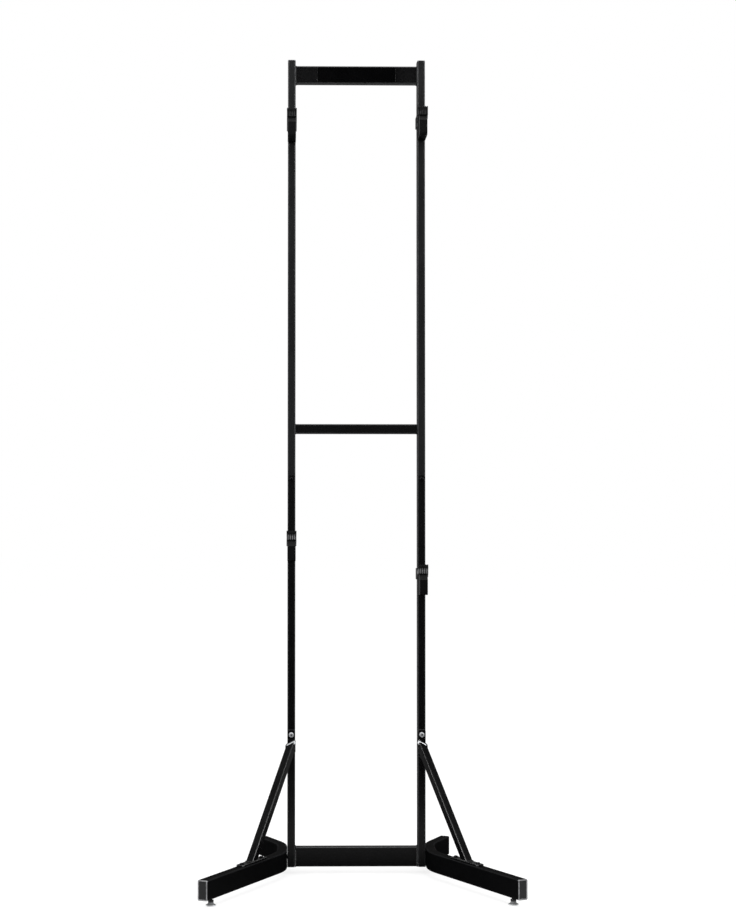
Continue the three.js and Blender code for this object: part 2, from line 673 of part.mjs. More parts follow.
const pieces = {
  lower: lowerUpright(),
  upper: upperUpright(),
  sleeve: jointSleeve(),
  plug: plug(UPRIGHT_WIDTH, UPRIGHT_DEPTH, false),
  leg: leg(),
  brace: brace(),
  cap: plug(LEG_THICKNESS, LEG_HEIGHT, true),
  pad: footPad(),
  stem: footStem(),
  jointScrew: facingFront(buttonScrew(M6_SHANK, M6_BUTTON, M6_BUTTON_HEIGHT, M6_SOCKET, jointScrewLength)),
  braceTopBolt: facingFront(buttonScrew(M8_SHANK, M8_BUTTON, M8_BUTTON_HEIGHT, M8_SOCKET, braceTopLength)),
  braceFootBolt: buttonScrew(M6_SHANK, M6_BUTTON, M6_BUTTON_HEIGHT, M6_SOCKET, braceFootLength),
  legBolt: hexBolt(legBoltLength),
};

for (const [side, sign] of Object.entries(sides)) {
  const mirrored = new THREE.Group();
  mirrored.scale.x = sign;
  rack.add(mirrored);
  const post = new THREE.Group();
  post.position.x = uprightX;
  mirrored.add(post);
  const topCap = meshOf(`top_cap_${side}`, pieces.plug, 'plastic');
  topCap.position.z = TOTAL_HEIGHT - PLUG_FLANGE;
  const bottomPlug = meshOf(`bottom_plug_${side}`, pieces.plug, 'plastic');
  bottomPlug.position.z = GROUND_GAP + PLUG_FLANGE;
  bottomPlug.rotation.x = Math.PI;
  post.add(
    meshOf(`lower_upright_${side}`, pieces.lower, 'paint'),
    meshOf(`upper_upright_${side}`, pieces.upper, 'paint'),
    meshOf(`joint_sleeve_${side}`, pieces.sleeve, 'zinc'),
    topCap,
    bottomPlug,
  );

  // Leg, brace and what they carry
  mirrored.add(meshOf(`leg_${side}`, pieces.leg, 'paint'), meshOf(`brace_${side}`, pieces.brace, 'paint'));
  for (const [end, point, run] of [['front', frontEnd, frontRun], ['rear', rearEnd, rearRun]]) {
    const cap = meshOf(`leg_end_cap_${end}_${side}`, pieces.cap, 'plastic');
    const outward = new THREE.Vector3(run.x, run.y, 0);
    const across = axisZ.clone().cross(outward);
    cap.setRotationFromMatrix(new THREE.Matrix4().makeBasis(across, axisZ, outward));
    cap.position.set(point.x, point.y, GROUND_GAP + LEG_HEIGHT / 2).addScaledVector(outward, FIT);
    const foot = feet[end];
    const pad = meshOf(`foot_pad_${end}_${side}`, pieces.pad, 'pad');
    const stem = meshOf(`foot_stem_${end}_${side}`, pieces.stem, 'zinc');
    pad.position.set(foot.x, foot.y, 0);
    stem.position.set(foot.x, foot.y, 0);
    mirrored.add(cap, pad, stem);
  }

  // Screws and bolts, each with its head seated on what it holds
  const jointScrew = meshOf(`joint_screw_${side}`, pieces.jointScrew, 'zinc');
  jointScrew.position.set(0, uprightFrontY - FIT, screwHeight);
  const braceTopBolt = meshOf(`brace_top_bolt_${side}`, pieces.braceTopBolt, 'zinc');
  braceTopBolt.position.set(0, -tabFace - FIT, tabBoltHeight);
  post.add(jointScrew, braceTopBolt);
  plateBoltRuns.map(onFrontRun).forEach((place, index) => {
    const bolt = meshOf(`brace_foot_bolt_${['rear', 'front'][index]}_${side}`, pieces.braceFootBolt, 'zinc');
    bolt.position.set(place.x, place.y, plateTop + FIT);
    mirrored.add(bolt);
  });
  Object.entries(legBoltPlaces).forEach(([end, y]) => {
    const bolt = meshOf(`leg_bolt_${end}_${side}`, pieces.legBolt, 'zinc');
    bolt.position.set(legBoltSeat, y, legBoltHeight);
    bolt.rotation.y = Math.PI / 2;
    mirrored.add(bolt);
  });
}

// Cradles, all four alike
const cradlePieces = {
  cradle_sleeve: [cradleSleeve(), 'paint'],
  cradle_arm: [cradleArm(), 'moulding'],
  cradle_saddle: [cradleSaddle(), 'rubber'],
};
const knob = clampKnob();
const hangers = [[TOTAL_HEIGHT, UPPER_CRADLE_DROPS], [JOINT_HEIGHT, LOWER_CRADLE_DROPS]];
const placings = hangers.flatMap(([top, drops]) => {
  return Object.entries(drops).map(([place, drop]) => [place, top - drop]);
});
for (const [place, height] of placings) {
  const cradle = new THREE.Group();
  cradle.position.set(place.endsWith('left') ? -uprightX : uprightX, 0, height);
  for (const [name, [geometry, material]] of Object.entries(cradlePieces)) {
    cradle.add(meshOf(`${name}_${place}`, geometry, material));
  }
  const turning = meshOf(`clamp_knob_${place}`, knob, 'moulding');
  turning.position.z = clampHeight;
  cradle.add(turning);
  rack.add(cradle);
}

// The footprint's middle is put on the origin.
const capReach = CAP_FLANGE + FIT;
const frontMost = frontEnd.clone().addScaledVector(frontRun, capReach);
frontMost.addScaledVector(frontInward, LEG_THICKNESS / 2);
const rearMost = rearEnd.clone().addScaledVector(rearRun, capReach);
rearMost.addScaledVector(rearInward, LEG_THICKNESS / 2);
rack.position.y = -(frontMost.y + rearMost.y) / 2;

export default rack;
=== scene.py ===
"""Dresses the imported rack: finely rounded tubes, welds, mouldings and fasteners with procedural finishes.

Lengths are metres in the row frame: X to the right, the front towards -Y, Z up from the floor.
"""

from __future__ import annotations

import logging
import math
from dataclasses import dataclass
from enum import Enum
from functools import reduce
from typing import Callable, Iterable, Sequence

import bmesh
import bpy
from bmesh.types import BMEdge, BMesh, BMFace, BMVert
from bpy.types import ID, Material, Node, NodeSocket, NodeTree, Object, World
from mathutils import Matrix, Vector

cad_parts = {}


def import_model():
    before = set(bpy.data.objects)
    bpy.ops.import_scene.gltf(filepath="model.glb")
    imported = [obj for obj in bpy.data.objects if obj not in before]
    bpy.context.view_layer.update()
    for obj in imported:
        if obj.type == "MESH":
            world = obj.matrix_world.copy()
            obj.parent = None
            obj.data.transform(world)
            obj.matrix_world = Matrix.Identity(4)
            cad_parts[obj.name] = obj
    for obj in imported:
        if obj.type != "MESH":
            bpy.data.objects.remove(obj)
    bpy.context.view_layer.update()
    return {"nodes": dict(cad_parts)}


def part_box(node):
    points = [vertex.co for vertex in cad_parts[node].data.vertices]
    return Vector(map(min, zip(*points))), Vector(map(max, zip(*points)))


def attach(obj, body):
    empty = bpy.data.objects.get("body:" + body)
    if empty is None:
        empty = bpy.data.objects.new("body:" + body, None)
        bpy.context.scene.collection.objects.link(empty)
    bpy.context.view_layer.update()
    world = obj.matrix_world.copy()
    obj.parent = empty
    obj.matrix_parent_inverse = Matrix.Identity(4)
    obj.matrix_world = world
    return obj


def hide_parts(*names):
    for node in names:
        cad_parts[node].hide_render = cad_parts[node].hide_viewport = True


LOG = logging.getLogger("bike_rack")
# Vertex attribute for the rim tint: edge wear, and a painted highlight along rounded edges.
RIM_WEAR_AND_HIGHLIGHT = "rub"
TOUCH = 1e-6
SHARP_ANGLE = math.radians(38)
RIM_ANGLE = 1.0
FLAT_CORNERS = 8
CORNER_STEPS = 6
EDGE_STEPS = 2
SHORT_SHARE = 0.9
TUBE_CORNER = 0.003
TUBE_CORNER_DIP = 0.0009
TUBE_WALL = 0.0015
END_HOLLOW = 0.016
THREAD_PITCH = 0.00125
CORE_GROWTH = 0.1
CORE_CHAMFER = 0.4
BEAD_RIPPLE = 0.0011
BEAD_WAIST = 0.82
ORIGIN = Vector((0, 0, 0))
AXIS_X = Vector((1, 0, 0))
AXIS_Y = Vector((0, 1, 0))
AXIS_Z = Vector((0, 0, 1))
Z_TO_FRONT = Matrix.Rotation(math.pi / 2, 4, "X")
Z_TO_BACK = Matrix.Rotation(-math.pi / 2, 4, "X")
Z_TO_RIGHT = Matrix.Rotation(math.pi / 2, 4, "Y")
WHITE = (1.0, 1.0, 1.0, 1.0)


class Side(Enum):
    """A side of the rack, as seen from the front, with the sign of its X."""

    LEFT = -1
    RIGHT = 1

    @property
    def label(self) -> str:
        """The side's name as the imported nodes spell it."""
        return self.name.lower()


# Shader groups that several finishes share
# Scales are features per metre, and ranges are what a ramp maps from

BRUSH_STRETCH = 0.06
GRAIN_DETAIL = 2.0
PATCH_DETAIL = 4.0
PATCH_RANGE = (0.3, 0.7)
PATCH_BRIGHT = 2.0
PATCH_MATT = 0.5
CHIP_SCALE = 160.0
CHIP_DETAIL = 3.0
CHIP_RANGE = (0.25, 0.6)
CHIP_LEAST = 0.55
SCUFF_SCALE = 310.0
SCUFF_DETAIL = 5.0
SCUFF_STRETCH = 0.22
SCUFF_RANGE = (0.66, 0.78)
AREA_SCALE = 7.0
AREA_DETAIL = 2.0
AREA_RANGE = (0.48, 0.62)
WORN_GLOSS = -0.12
DUST_SCALE = 45.0
DUST_DETAIL = 6.0
DUST_RANGE = (0.3, 0.75)
DUST_LEAST = 0.35
DUST_HIGH_UP = 0.45
DUST_COLOUR = (0.33, 0.32, 0.3, 1.0)
DUST_MATT = 0.4
UPWARD = (0.55, 1.0)
NEAR_FLOOR = (0.0, 0.5)


class Graph:
    """Adds nodes to a shader tree and joins their sockets."""

    def __init__(self, tree: NodeTree) -> None:
        """Keeps the tree that the nodes go in."""
        self.tree = tree

    @classmethod
    def of(cls, holder: Material | World) -> Graph:
        """Starts an empty graph.

        Args:
            holder: The material or world that it is in.

        Returns:
            The graph.
        """
        holder.use_nodes = True
        holder.node_tree.nodes.clear()
        return cls(holder.node_tree)

    def fill(self, node: Node, inputs: dict) -> None:
        """Sets or joins a node's inputs.

        Args:
            node: The node.
            inputs: Values or output sockets by input name or number.
        """
        for key, value in inputs.items():
            if isinstance(value, NodeSocket):
                self.tree.links.new(value, node.inputs[key])
            else:
                node.inputs[key].default_value = value

    def add(self, kind: str, inputs: dict | None = None, **settings: object) -> Node:
        """Adds one node.

        Args:
            kind: The node's type without its ShaderNode prefix.
            inputs: Values or output sockets by input name or number.
            settings: Attributes to set on the node first.

        Returns:
            The new node.
        """
        node = self.tree.nodes.new(f"ShaderNode{kind}")
        for name, value in settings.items():
            setattr(node, name, value)
        self.fill(node, inputs or {})
        return node

    def noise(self, where: NodeSocket, scale: float | NodeSocket, detail: float) -> NodeSocket:
        """A noise pattern.

        Args:
            where: The coordinates it reads.
            scale: Features per metre.
            detail: Octaves of finer noise.

        Returns:
            The value socket.
        """
        return self.add("TexNoise", {"Vector": where, "Scale": scale, "Detail": detail}).outputs["Fac"]

    def ramp(
        self, value: NodeSocket, low: float, high: float, start: float = 0.0, end: float = 1.0,
    ) -> NodeSocket:
        """Maps a value's range smoothly to another range.

        Args:
            value: The value socket.
            low: The value that gives start.
            high: The value that gives end.
            start: The result at low.
            end: The result at high.

        Returns:
            The mapped value socket.
        """
        inputs = {"Value": value, "From Min": low, "From Max": high, "To Min": start, "To Max": end}
        return self.add("MapRange", inputs, interpolation_type="SMOOTHSTEP").outputs["Result"]

    def maths(self, operation: str, *values: float | NodeSocket) -> NodeSocket:
        """Joins values by an arithmetic operation, from first to last.

        Args:
            operation: The Math node's operation.
            values: The values or sockets.

        Returns:
            The result socket.
        """
        return reduce(
            lambda first, second: self.add("Math", {0: first, 1: second}, operation=operation).outputs[0],
            values,
        )

    def part(self, vector: NodeSocket, axis: int) -> NodeSocket:
        """One coordinate of a vector."""
        return self.add("SeparateXYZ", {0: vector}).outputs[axis]

    def blend(self, share: NodeSocket, first: NodeSocket, second: object) -> NodeSocket:
        """Mixes two colours, by how much of the second one shows."""
        return self.add("Mix", {0: share, 6: first, 7: second}, data_type="RGBA").outputs[2]

    def stretch(self, where: NodeSocket, upright: float) -> NodeSocket:
        """Coordinates with the upright one scaled."""
        return self.add("Mapping", {"Vector": where, "Scale": (1.0, 1.0, upright)}).outputs[0]


@dataclass(frozen=True)
class SharedGroup:
    """A shader node group that is built once and placed in several materials."""

    name: str
    inputs: dict[str, str]
    outputs: dict[str, str]
    wire: Callable[[Graph, dict[str, NodeSocket]], dict[str, NodeSocket]]

    def tree(self) -> NodeTree:
        """Finds the group's tree, or builds it.

        Returns:
            The node tree.
        """
        tree = bpy.data.node_groups.get(self.name)
        if tree:
            return tree
        tree = bpy.data.node_groups.new(self.name, "ShaderNodeTree")
        for direction, sockets in (("INPUT", self.inputs), ("OUTPUT", self.outputs)):
            for name, kind in sockets.items():
                tree.interface.new_socket(name, in_out=direction, socket_type=f"NodeSocket{kind}")
        graph = Graph(tree)
        given = dict(tree.nodes.new("NodeGroupInput").outputs.items())
        graph.fill(tree.nodes.new("NodeGroupOutput"), self.wire(graph, given))
        return tree


def wire_skin(graph: Graph, given: dict[str, NodeSocket]) -> dict[str, NodeSocket]:
    """Fine grain with slow patches.

    Args:
        graph: The group's graph.
        given: The group's inputs.

    Returns:
        Its outputs.
    """
    patches = graph.noise(given["Vector"], given["Patch Scale"], PATCH_DETAIL)
    moved = graph.maths("MULTIPLY", graph.ramp(patches, *PATCH_RANGE, -1.0, 1.0), given["Spread"])
    bright = graph.maths("ADD", graph.maths("MULTIPLY", moved, PATCH_BRIGHT), 1.0)
    colour = graph.add("VectorMath", {0: given["Colour"], "Scale": bright}, operation="SCALE")
    return {
        "Height": graph.noise(given["Vector"], given["Grain Scale"], GRAIN_DETAIL),
        "Roughness": graph.maths("ADD", given["Roughness"], graph.maths("MULTIPLY", moved, PATCH_MATT)),
        "Colour": colour.outputs[0],
    }


def wire_wear_and_highlight(graph: Graph, given: dict[str, NodeSocket]) -> dict[str, NodeSocket]:
    """Lighter rims, which are edge wear and a painted highlight along rounded edges, and short handling
    scuffs.

    Args:
        graph: The group's graph.
        given: The group's inputs.

    Returns:
        Its outputs.
    """
    where = given["Vector"]
    chips = graph.ramp(graph.noise(where, CHIP_SCALE, CHIP_DETAIL), *CHIP_RANGE, CHIP_LEAST, 1.0)
    # The rim tint is edge wear and a painted highlight.
    painted_highlight_and_worn = graph.maths("MULTIPLY", given["Rim"], given["Rim Share"], chips)
    drawn_out = graph.stretch(where, SCUFF_STRETCH)
    marks = graph.ramp(graph.noise(drawn_out, SCUFF_SCALE, SCUFF_DETAIL), *SCUFF_RANGE)
    areas = graph.ramp(graph.noise(where, AREA_SCALE, AREA_DETAIL), *AREA_RANGE)
    scuffs = graph.maths("MULTIPLY", marks, areas, given["Scuff Share"])
    share = graph.maths("MAXIMUM", painted_highlight_and_worn, scuffs)
    return {
        "Colour": graph.blend(share, given["Colour"], given["Worn And Highlight Colour"]),
        "Roughness": graph.maths("ADD", given["Roughness"], graph.maths("MULTIPLY", share, WORN_GLOSS)),
    }


def wire_dust(graph: Graph, given: dict[str, NodeSocket]) -> dict[str, NodeSocket]:
    """A thin film of dust on what faces up, thicker near the floor.

    Args:
        graph: The group's graph.
        given: The group's inputs.

    Returns:
        Its outputs.
    """
    where = given["Vector"]
    level = graph.ramp(graph.part(given["Normal"], 2), *UPWARD)
    low = graph.ramp(graph.part(where, 2), *NEAR_FLOOR, 1.0, DUST_HIGH_UP)
    patchy = graph.ramp(graph.noise(where, DUST_SCALE, DUST_DETAIL), *DUST_RANGE, DUST_LEAST, 1.0)
    share = graph.maths("MULTIPLY", level, low, patchy, given["Amount"])
    return {
        "Colour": graph.blend(share, given["Colour"], DUST_COLOUR),
        "Roughness": graph.maths("ADD", given["Roughness"], graph.maths("MULTIPLY", share, DUST_MATT)),
    }


SURFACE = {"Vector": "Vector", "Colour": "Color", "Roughness": "Float"}
SHADE = {"Colour": "Color", "Roughness": "Float"}
SKIN = SharedGroup(
    "surface skin", {**SURFACE, "Grain Scale": "Float", "Patch Scale": "Float", "Spread": "Float"},
    {**SHADE, "Height": "Float"}, wire_skin,
)
WEAR_AND_HIGHLIGHT = SharedGroup(
    "handling wear",
    {**SURFACE, "Worn And Highlight Colour": "Color", "Rim": "Float", "Rim Share": "Float", "Scuff Share": "Float"},
    SHADE, wire_wear_and_highlight,
)
DUST = SharedGroup("settled dust", {**SURFACE, "Normal": "Vector", "Amount": "Float"}, SHADE, wire_dust)


@dataclass(frozen=True)
class Finish:
    """One finish of the rack: its colour, gloss, grain, wear, a painted highlight on its rims, and dust.

    Colours are linear. Grain and patch scales are features per metre, and grain height is in metres.
    """

    name: str
    slot: str
    colour: tuple[float, float, float]
    roughness: float
    grain_scale: float
    grain_height: float
    patch_scale: float = 14.0
    spread: float = 0.06
    # This colour tints the scuffs, which are wear, and the rims, which are wear and a painted highlight.
    worn: tuple[float, float, float] = (0.2, 0.2, 0.2)
    rim_share: float = 0.0
    scuff_share: float = 0.0
    dust: float = 0.0
    metallic: float = 0.0
    specular: float = 0.5
    brushed: bool = False

    def material(self) -> Material:
        """Finds the finish's material, or builds it.

        Returns:
            The material.
        """
        material = bpy.data.materials.get(self.name)
        if material:
            return material
        material = bpy.data.materials.new(self.name)
        graph = Graph.of(material)
        where = graph.add("TexCoord").outputs["Object"]
        skin = graph.add("Group", {
            "Vector": graph.stretch(where, BRUSH_STRETCH) if self.brushed else where,
            "Colour": (*self.colour, 1.0),
            "Roughness": self.roughness,
            "Grain Scale": self.grain_scale,
            "Patch Scale": self.patch_scale,
            "Spread": self.spread,
        }, node_tree=SKIN.tree())
        wear_and_highlight = graph.add("Group", {
            "Vector": where,
            "Colour": skin.outputs["Colour"],
            "Roughness": skin.outputs["Roughness"],
            "Worn And Highlight Colour": (*self.worn, 1.0),
            "Rim": graph.add("Attribute", attribute_name=RIM_WEAR_AND_HIGHLIGHT).outputs["Fac"],
            "Rim Share": self.rim_share,
            "Scuff Share": self.scuff_share,
        }, node_tree=WEAR_AND_HIGHLIGHT.tree())
        dust = graph.add("Group", {
            "Vector": where,
            "Normal": graph.add("NewGeometry").outputs["Normal"],
            "Colour": wear_and_highlight.outputs["Colour"],
            "Roughness": wear_and_highlight.outputs["Roughness"],
            "Amount": self.dust,
        }, node_tree=DUST.tree())
        grain = {"Height": skin.outputs["Height"], "Distance": self.grain_height, "Strength": 1.0}
        shader = graph.add("BsdfPrincipled", {
            "Base Color": dust.outputs["Colour"],
            "Roughness": dust.outputs["Roughness"],
            "Normal": graph.add("Bump", grain).outputs["Normal"],
            "Metallic": self.metallic,
            "Specular IOR Level": self.specular,
        })
        graph.add("OutputMaterial", {"Surface": shader.outputs["BSDF"]})
        return material


BLACK_COAT = Finish(
    "satin black powder coat", "paint", (0.0012, 0.0012, 0.0014), 0.22, 1500.0, 0.00003,
    worn=(0.09, 0.092, 0.097), rim_share=0.2, scuff_share=0.06, dust=0.02,
)
# A lighter copy of the black coat for the upper uprights and the upper cradle sleeves: painted light, for the
# light that falls from above.
PAINTED_LIGHT_COAT = Finish(
    "satin charcoal powder coat", "paint", (0.0066, 0.0068, 0.0072), 0.3, 1500.0, 0.00004,
    worn=(0.1, 0.102, 0.107), rim_share=0.25, scuff_share=0.08, dust=0.03, specular=0.42,
)
LEG_COAT = Finish(
    "matt black powder coat", "paint", (0.0022, 0.0022, 0.0024), 0.5, 1300.0, 0.00006,
    worn=(0.07, 0.071, 0.075), rim_share=0.12, scuff_share=0.08, dust=0.004, specular=0.03,
)
# The braces' black coat with a strong rim tint: a painted highlight along the braces' edges, with some edge
# wear.
BRACE_COAT_PAINTED_HIGHLIGHT = Finish(
    "black powder coat with rubbed edges", "paint", (0.0012, 0.0012, 0.0014), 0.22, 1500.0, 0.00003,
    worn=(0.22, 0.222, 0.228), rim_share=0.5, scuff_share=0.06, dust=0.02, specular=0.45,
)
# A lighter copy of the black coat for the weld beads: a painted highlight where the beads catch light.
WELD_COAT_PAINTED_HIGHLIGHT = Finish(
    "coated weld", "paint", (0.006, 0.0062, 0.0066), 0.34, 900.0, 0.00012,
    worn=(0.1, 0.1, 0.105), rim_share=0.2, dust=0.03,
)
SIGN_GLOSS = Finish(
    "gloss black plate", "paint", (0.0008, 0.0008, 0.0009), 0.14, 700.0, 0.00001,
    rim_share=0.2, scuff_share=0.04, specular=0.25,
)
# The caps' light rims are a painted highlight, with some edge wear.
GREY_MOULDING = Finish(
    "grey moulded plastic", "plastic", (0.015, 0.0152, 0.0158), 0.45, 2600.0, 0.00005,
    worn=(0.36, 0.36, 0.37), rim_share=0.8, scuff_share=0.3, dust=0.08, specular=0.4,
)
# The arms' light rims are a painted highlight along their front edges, with some edge wear.
BLACK_MOULDING = Finish(
    "black moulded nylon", "moulding", (0.0028, 0.0028, 0.003), 0.42, 2200.0, 0.00007,
    worn=(0.12, 0.12, 0.124), rim_share=0.6, scuff_share=0.12, dust=0.01, specular=0.1,
)
# Near-black rubber; its lighter colour on the ribs low on the lip is painted light.
RIBBED_RUBBER_PAINTED_LIGHT = Finish(
    "ribbed grey rubber", "rubber", (0.0016, 0.0016, 0.0018), 0.62, 1800.0, 0.00008,
    worn=(0.24, 0.24, 0.246), rim_share=0.6, scuff_share=0.06, dust=0.01, specular=0.12,
)
ZINC = Finish(
    "bright zinc", "zinc", (0.52, 0.53, 0.545), 0.46, 900.0, 0.00003,
    worn=(0.6, 0.61, 0.62), rim_share=0.4, metallic=0.75, patch_scale=70.0, spread=0.08, brushed=True,
)
DARK_STEEL = Finish(
    "blackened steel", "zinc", (0.03, 0.03, 0.032), 0.4, 1200.0, 0.00004,
    worn=(0.3, 0.3, 0.31), rim_share=0.35, metallic=1.0, patch_scale=70.0, spread=0.08,
)
# A darker copy of the pale pad plastic for the pad's neck and flare: painted shade under the leg.
PAD_PLASTIC_PAINTED_SHADE = Finish(
    "grey moulded foot", "pad", (0.17, 0.172, 0.176), 0.5, 2400.0, 0.00004,
    worn=(0.3, 0.3, 0.31), rim_share=0.1, scuff_share=0.2, dust=0.05, specular=0.4,
)
PALE_PLASTIC = Finish(
    "pale moulded plastic", "pad", (0.62, 0.63, 0.64), 0.45, 2400.0, 0.00004,
    worn=(0.4, 0.4, 0.41), rim_share=0.1, scuff_share=0.2, dust=0.1,
)


# Mesh tools


def start_mesh() -> BMesh:
    """An empty mesh that keeps how much rim tint each of its corners takes: edge wear and a painted
    highlight.

    Returns:
        The new bmesh.
    """
    bm = bmesh.new()
    bm.verts.layers.float.new(RIM_WEAR_AND_HIGHLIGHT)
    return bm


def mark(bm: BMesh, verts: Iterable[BMVert], amount: float) -> None:
    """Sets how much rim tint vertices take: edge wear and a painted highlight.

    Args:
        bm: The mesh.
        verts: The vertices.
        amount: 0 for none, 1 for most.
    """
    rub = bm.verts.layers.float[RIM_WEAR_AND_HIGHLIGHT]
    for vert in verts:
        vert[rub] = amount


def add_object(name: str, data: ID) -> Object:
    """Puts an object in the scene.

    Args:
        name: Its name.
        data: Its mesh, light or camera.

    Returns:
        The object.
    """
    made = bpy.data.objects.new(name, data)
    bpy.context.scene.collection.objects.link(made)
    return made


def of_kind(items: Iterable, kind: type) -> list:
    """The items of one kind."""
    return [item for item in items if isinstance(item, kind)]


def corners_of(edges: Iterable[BMEdge]) -> list[BMVert]:
    """The vertices that edges end in, each once."""
    return list(dict.fromkeys(vert for edge in edges for vert in edge.verts))


def edges_at(verts: Iterable[BMVert]) -> list[BMEdge]:
    """The edges that end in vertices, each once."""
    return list(dict.fromkeys(edge for vert in verts for edge in vert.link_edges))


def island(verts: Iterable[BMVert]) -> list[BMVert]:
    """All the vertices joined to some vertices.

    Args:
        verts: Where to start. Those that no longer exist are skipped.

    Returns:
        The vertices.
    """
    found = dict.fromkeys(vert for vert in verts if vert.is_valid)
    todo = list(found)
    while todo:
        for vert in corners_of(todo.pop().link_edges):
            if vert not in found:
                found[vert] = None
                todo.append(vert)
    return list(found)


def place(bm: BMesh, matrix: Matrix, verts: Iterable[BMVert] | None = None) -> None:
    """Moves vertices, or the whole mesh, by a matrix."""
    bmesh.ops.transform(bm, matrix=matrix, verts=list(bm.verts if verts is None else verts))


def move(bm: BMesh, step: Sequence[float], verts: Iterable[BMVert] | None = None) -> None:
    """Moves vertices, or the whole mesh, by a step."""
    place(bm, Matrix.Translation(step), verts)


def axes_at(point: Vector, x: Vector, y: Vector, z: Vector) -> Matrix:
    """The matrix that takes the origin to a point and the axes to three directions."""
    return Matrix.Translation(point) @ Matrix((x, y, z)).transposed().to_4x4()


def face_out(bm: BMesh) -> None:
    """Turns all the faces outwards."""
    bmesh.ops.recalc_face_normals(bm, faces=list(bm.faces))


def round_edges(bm: BMesh, edges: Iterable[BMEdge], radius: float, steps: int = EDGE_STEPS) -> None:
    """Rounds edges and marks the middle of each round for the rim tint: edge wear and a painted highlight.

    Args:
        bm: The mesh.
        edges: The edges to round.
        radius: The round's size.
        steps: Its segments.
    """
    made = bmesh.ops.bevel(
        bm, geom=list(edges), offset=radius, offset_type="OFFSET", segments=steps, profile=0.5,
        affect="EDGES", material=-1, clamp_overlap=True,
    )
    if steps > 1:
        faces = set(made["faces"])
        middle = [vert for vert in made["verts"] if sum(face not in faces for face in vert.link_faces) < 2]
        mark(bm, middle, 1.0)


def rounded_section(
    bm: BMesh, width: float, height: float, corner: float, steps: int = CORNER_STEPS,
) -> list[BMEdge]:
    """A filled rounded rectangle in the XZ plane, centred on the origin.

    Args:
        bm: The mesh.
        width: Its size along X.
        height: Its size along Z.
        corner: The corner radius.
        steps: Segments in a corner.

    Returns:
        The outline's edges.
    """
    upright = Z_TO_FRONT @ Matrix.Diagonal((width, height, 1, 1))
    made = bmesh.ops.create_grid(bm, x_segments=1, y_segments=1, size=0.5, matrix=upright)["verts"]
    rounded = bmesh.ops.bevel(
        bm, geom=made, offset=corner, offset_type="OFFSET", segments=steps, profile=0.5,
        affect="VERTICES", material=-1,
    )
    face = rounded["verts"][0].link_faces[0]
    short = corner * SHORT_SHARE
    rounds = [vert for vert in face.verts if all(edge.calc_length() < short for edge in vert.link_edges)]
    # The rounded corners take the full rim tint: edge wear and a painted highlight.
    mark(bm, rounds, 1.0)
    return list(face.edges)


class Sweep:
    """Carries an outline, or a single vertex, through space and leaves its trail as a mesh."""

    def __init__(self, bm: BMesh, edges: Sequence[BMEdge], verts: Sequence[BMVert] = ()) -> None:
        """Starts from an outline.

        Args:
            bm: The mesh.
            edges: The outline's edges.
            verts: The vertex to draw with, where there is no outline.
        """
        self.bm = bm
        self.edges = list(edges)
        self.verts = list(verts) or corners_of(edges)
        self.first = self.verts[0]

    def forward(self, step: Sequence[float]) -> Sweep:
        """Goes straight on.

        Args:
            step: The way to go.

        Returns:
            The sweep itself.
        """
        if self.edges:
            made = bmesh.ops.extrude_edge_only(self.bm, edges=self.edges)["geom"]
        else:
            made = bmesh.ops.extrude_vert_indiv(self.bm, verts=self.verts)["verts"]
        self.verts = of_kind(made, BMVert)
        ends = set(self.verts)
        self.edges = [edge for edge in of_kind(made, BMEdge) if set(edge.verts) <= ends]
        move(self.bm, step, self.verts)
        return self

    def turn(
        self, centre: Sequence[float], axis: Vector, angle: float, steps: int,
        rise: Sequence[float] = ORIGIN, closed: bool = False,
    ) -> Sweep:
        """Goes round an arc.

        Args:
            centre: A point on the arc's axis.
            axis: The axis.
            angle: How far it turns, in radians.
            steps: Segments in the arc.
            rise: A move added at each segment.
            closed: Whether it ends where it began.

        Returns:
            The sweep itself.
        """
        last = bmesh.ops.spin(
            self.bm, geom=self.verts + self.edges, cent=Vector(centre), axis=axis, angle=angle, steps=steps,
            dvec=Vector(rise), use_duplicate=False, use_merge=closed, use_normal_flip=False, space=Matrix(),
        )["geom_last"]
        self.verts = of_kind(last, BMVert)
        self.edges = of_kind(last, BMEdge)
        return self

    def cap(self) -> BMFace:
        """Closes the outline where it has come to.

        Returns:
            The new face.
        """
        return bmesh.ops.edgeloop_fill(self.bm, edges=self.edges)["faces"][0]


def hollow(bm: BMesh, face: BMFace, wall: float, depth: float) -> None:
    """Opens a tube's end.

    Args:
        bm: The mesh.
        face: The end face.
        wall: The tube's wall.
        depth: How far in the hollow goes.
    """
    face.normal_update()
    inwards = -face.normal
    bmesh.ops.inset_region(bm, faces=[face], thickness=wall, use_even_offset=True)
    sunk = bmesh.ops.extrude_discrete_faces(bm, faces=[face])["faces"]
    move(bm, inwards * depth, sunk[0].verts)


def rod(bm: BMesh, diameter: float, low: float, high: float, steps: int) -> list[BMVert]:
    """A round bar along Z.

    Args:
        bm: The mesh.
        diameter: Its diameter, or the distance across its corners where it has few sides.
        low: Its lower end.
        high: Its upper end.
        steps: Its sides.

    Returns:
        Its vertices.
    """
    return bmesh.ops.create_cone(
        bm, cap_ends=True, cap_tris=False, segments=steps, radius1=diameter / 2, radius2=diameter / 2,
        depth=high - low, matrix=Matrix.Translation((0, 0, (low + high) / 2)),
    )["verts"]


def hexagon(
    bm: BMesh, flats: float, low: float, high: float, edge: float, steps: int = EDGE_STEPS,
) -> None:
    """A hexagonal block along Z with rounded edges.

    Args:
        bm: The mesh.
        flats: The distance across its flats.
        low: Its lower end.
        high: Its upper end.
        edge: The round of its edges.
        steps: The round's segments.
    """
    round_edges(bm, edges_at(rod(bm, flats / math.cos(math.pi / 6), low, high, 6)), edge, steps)


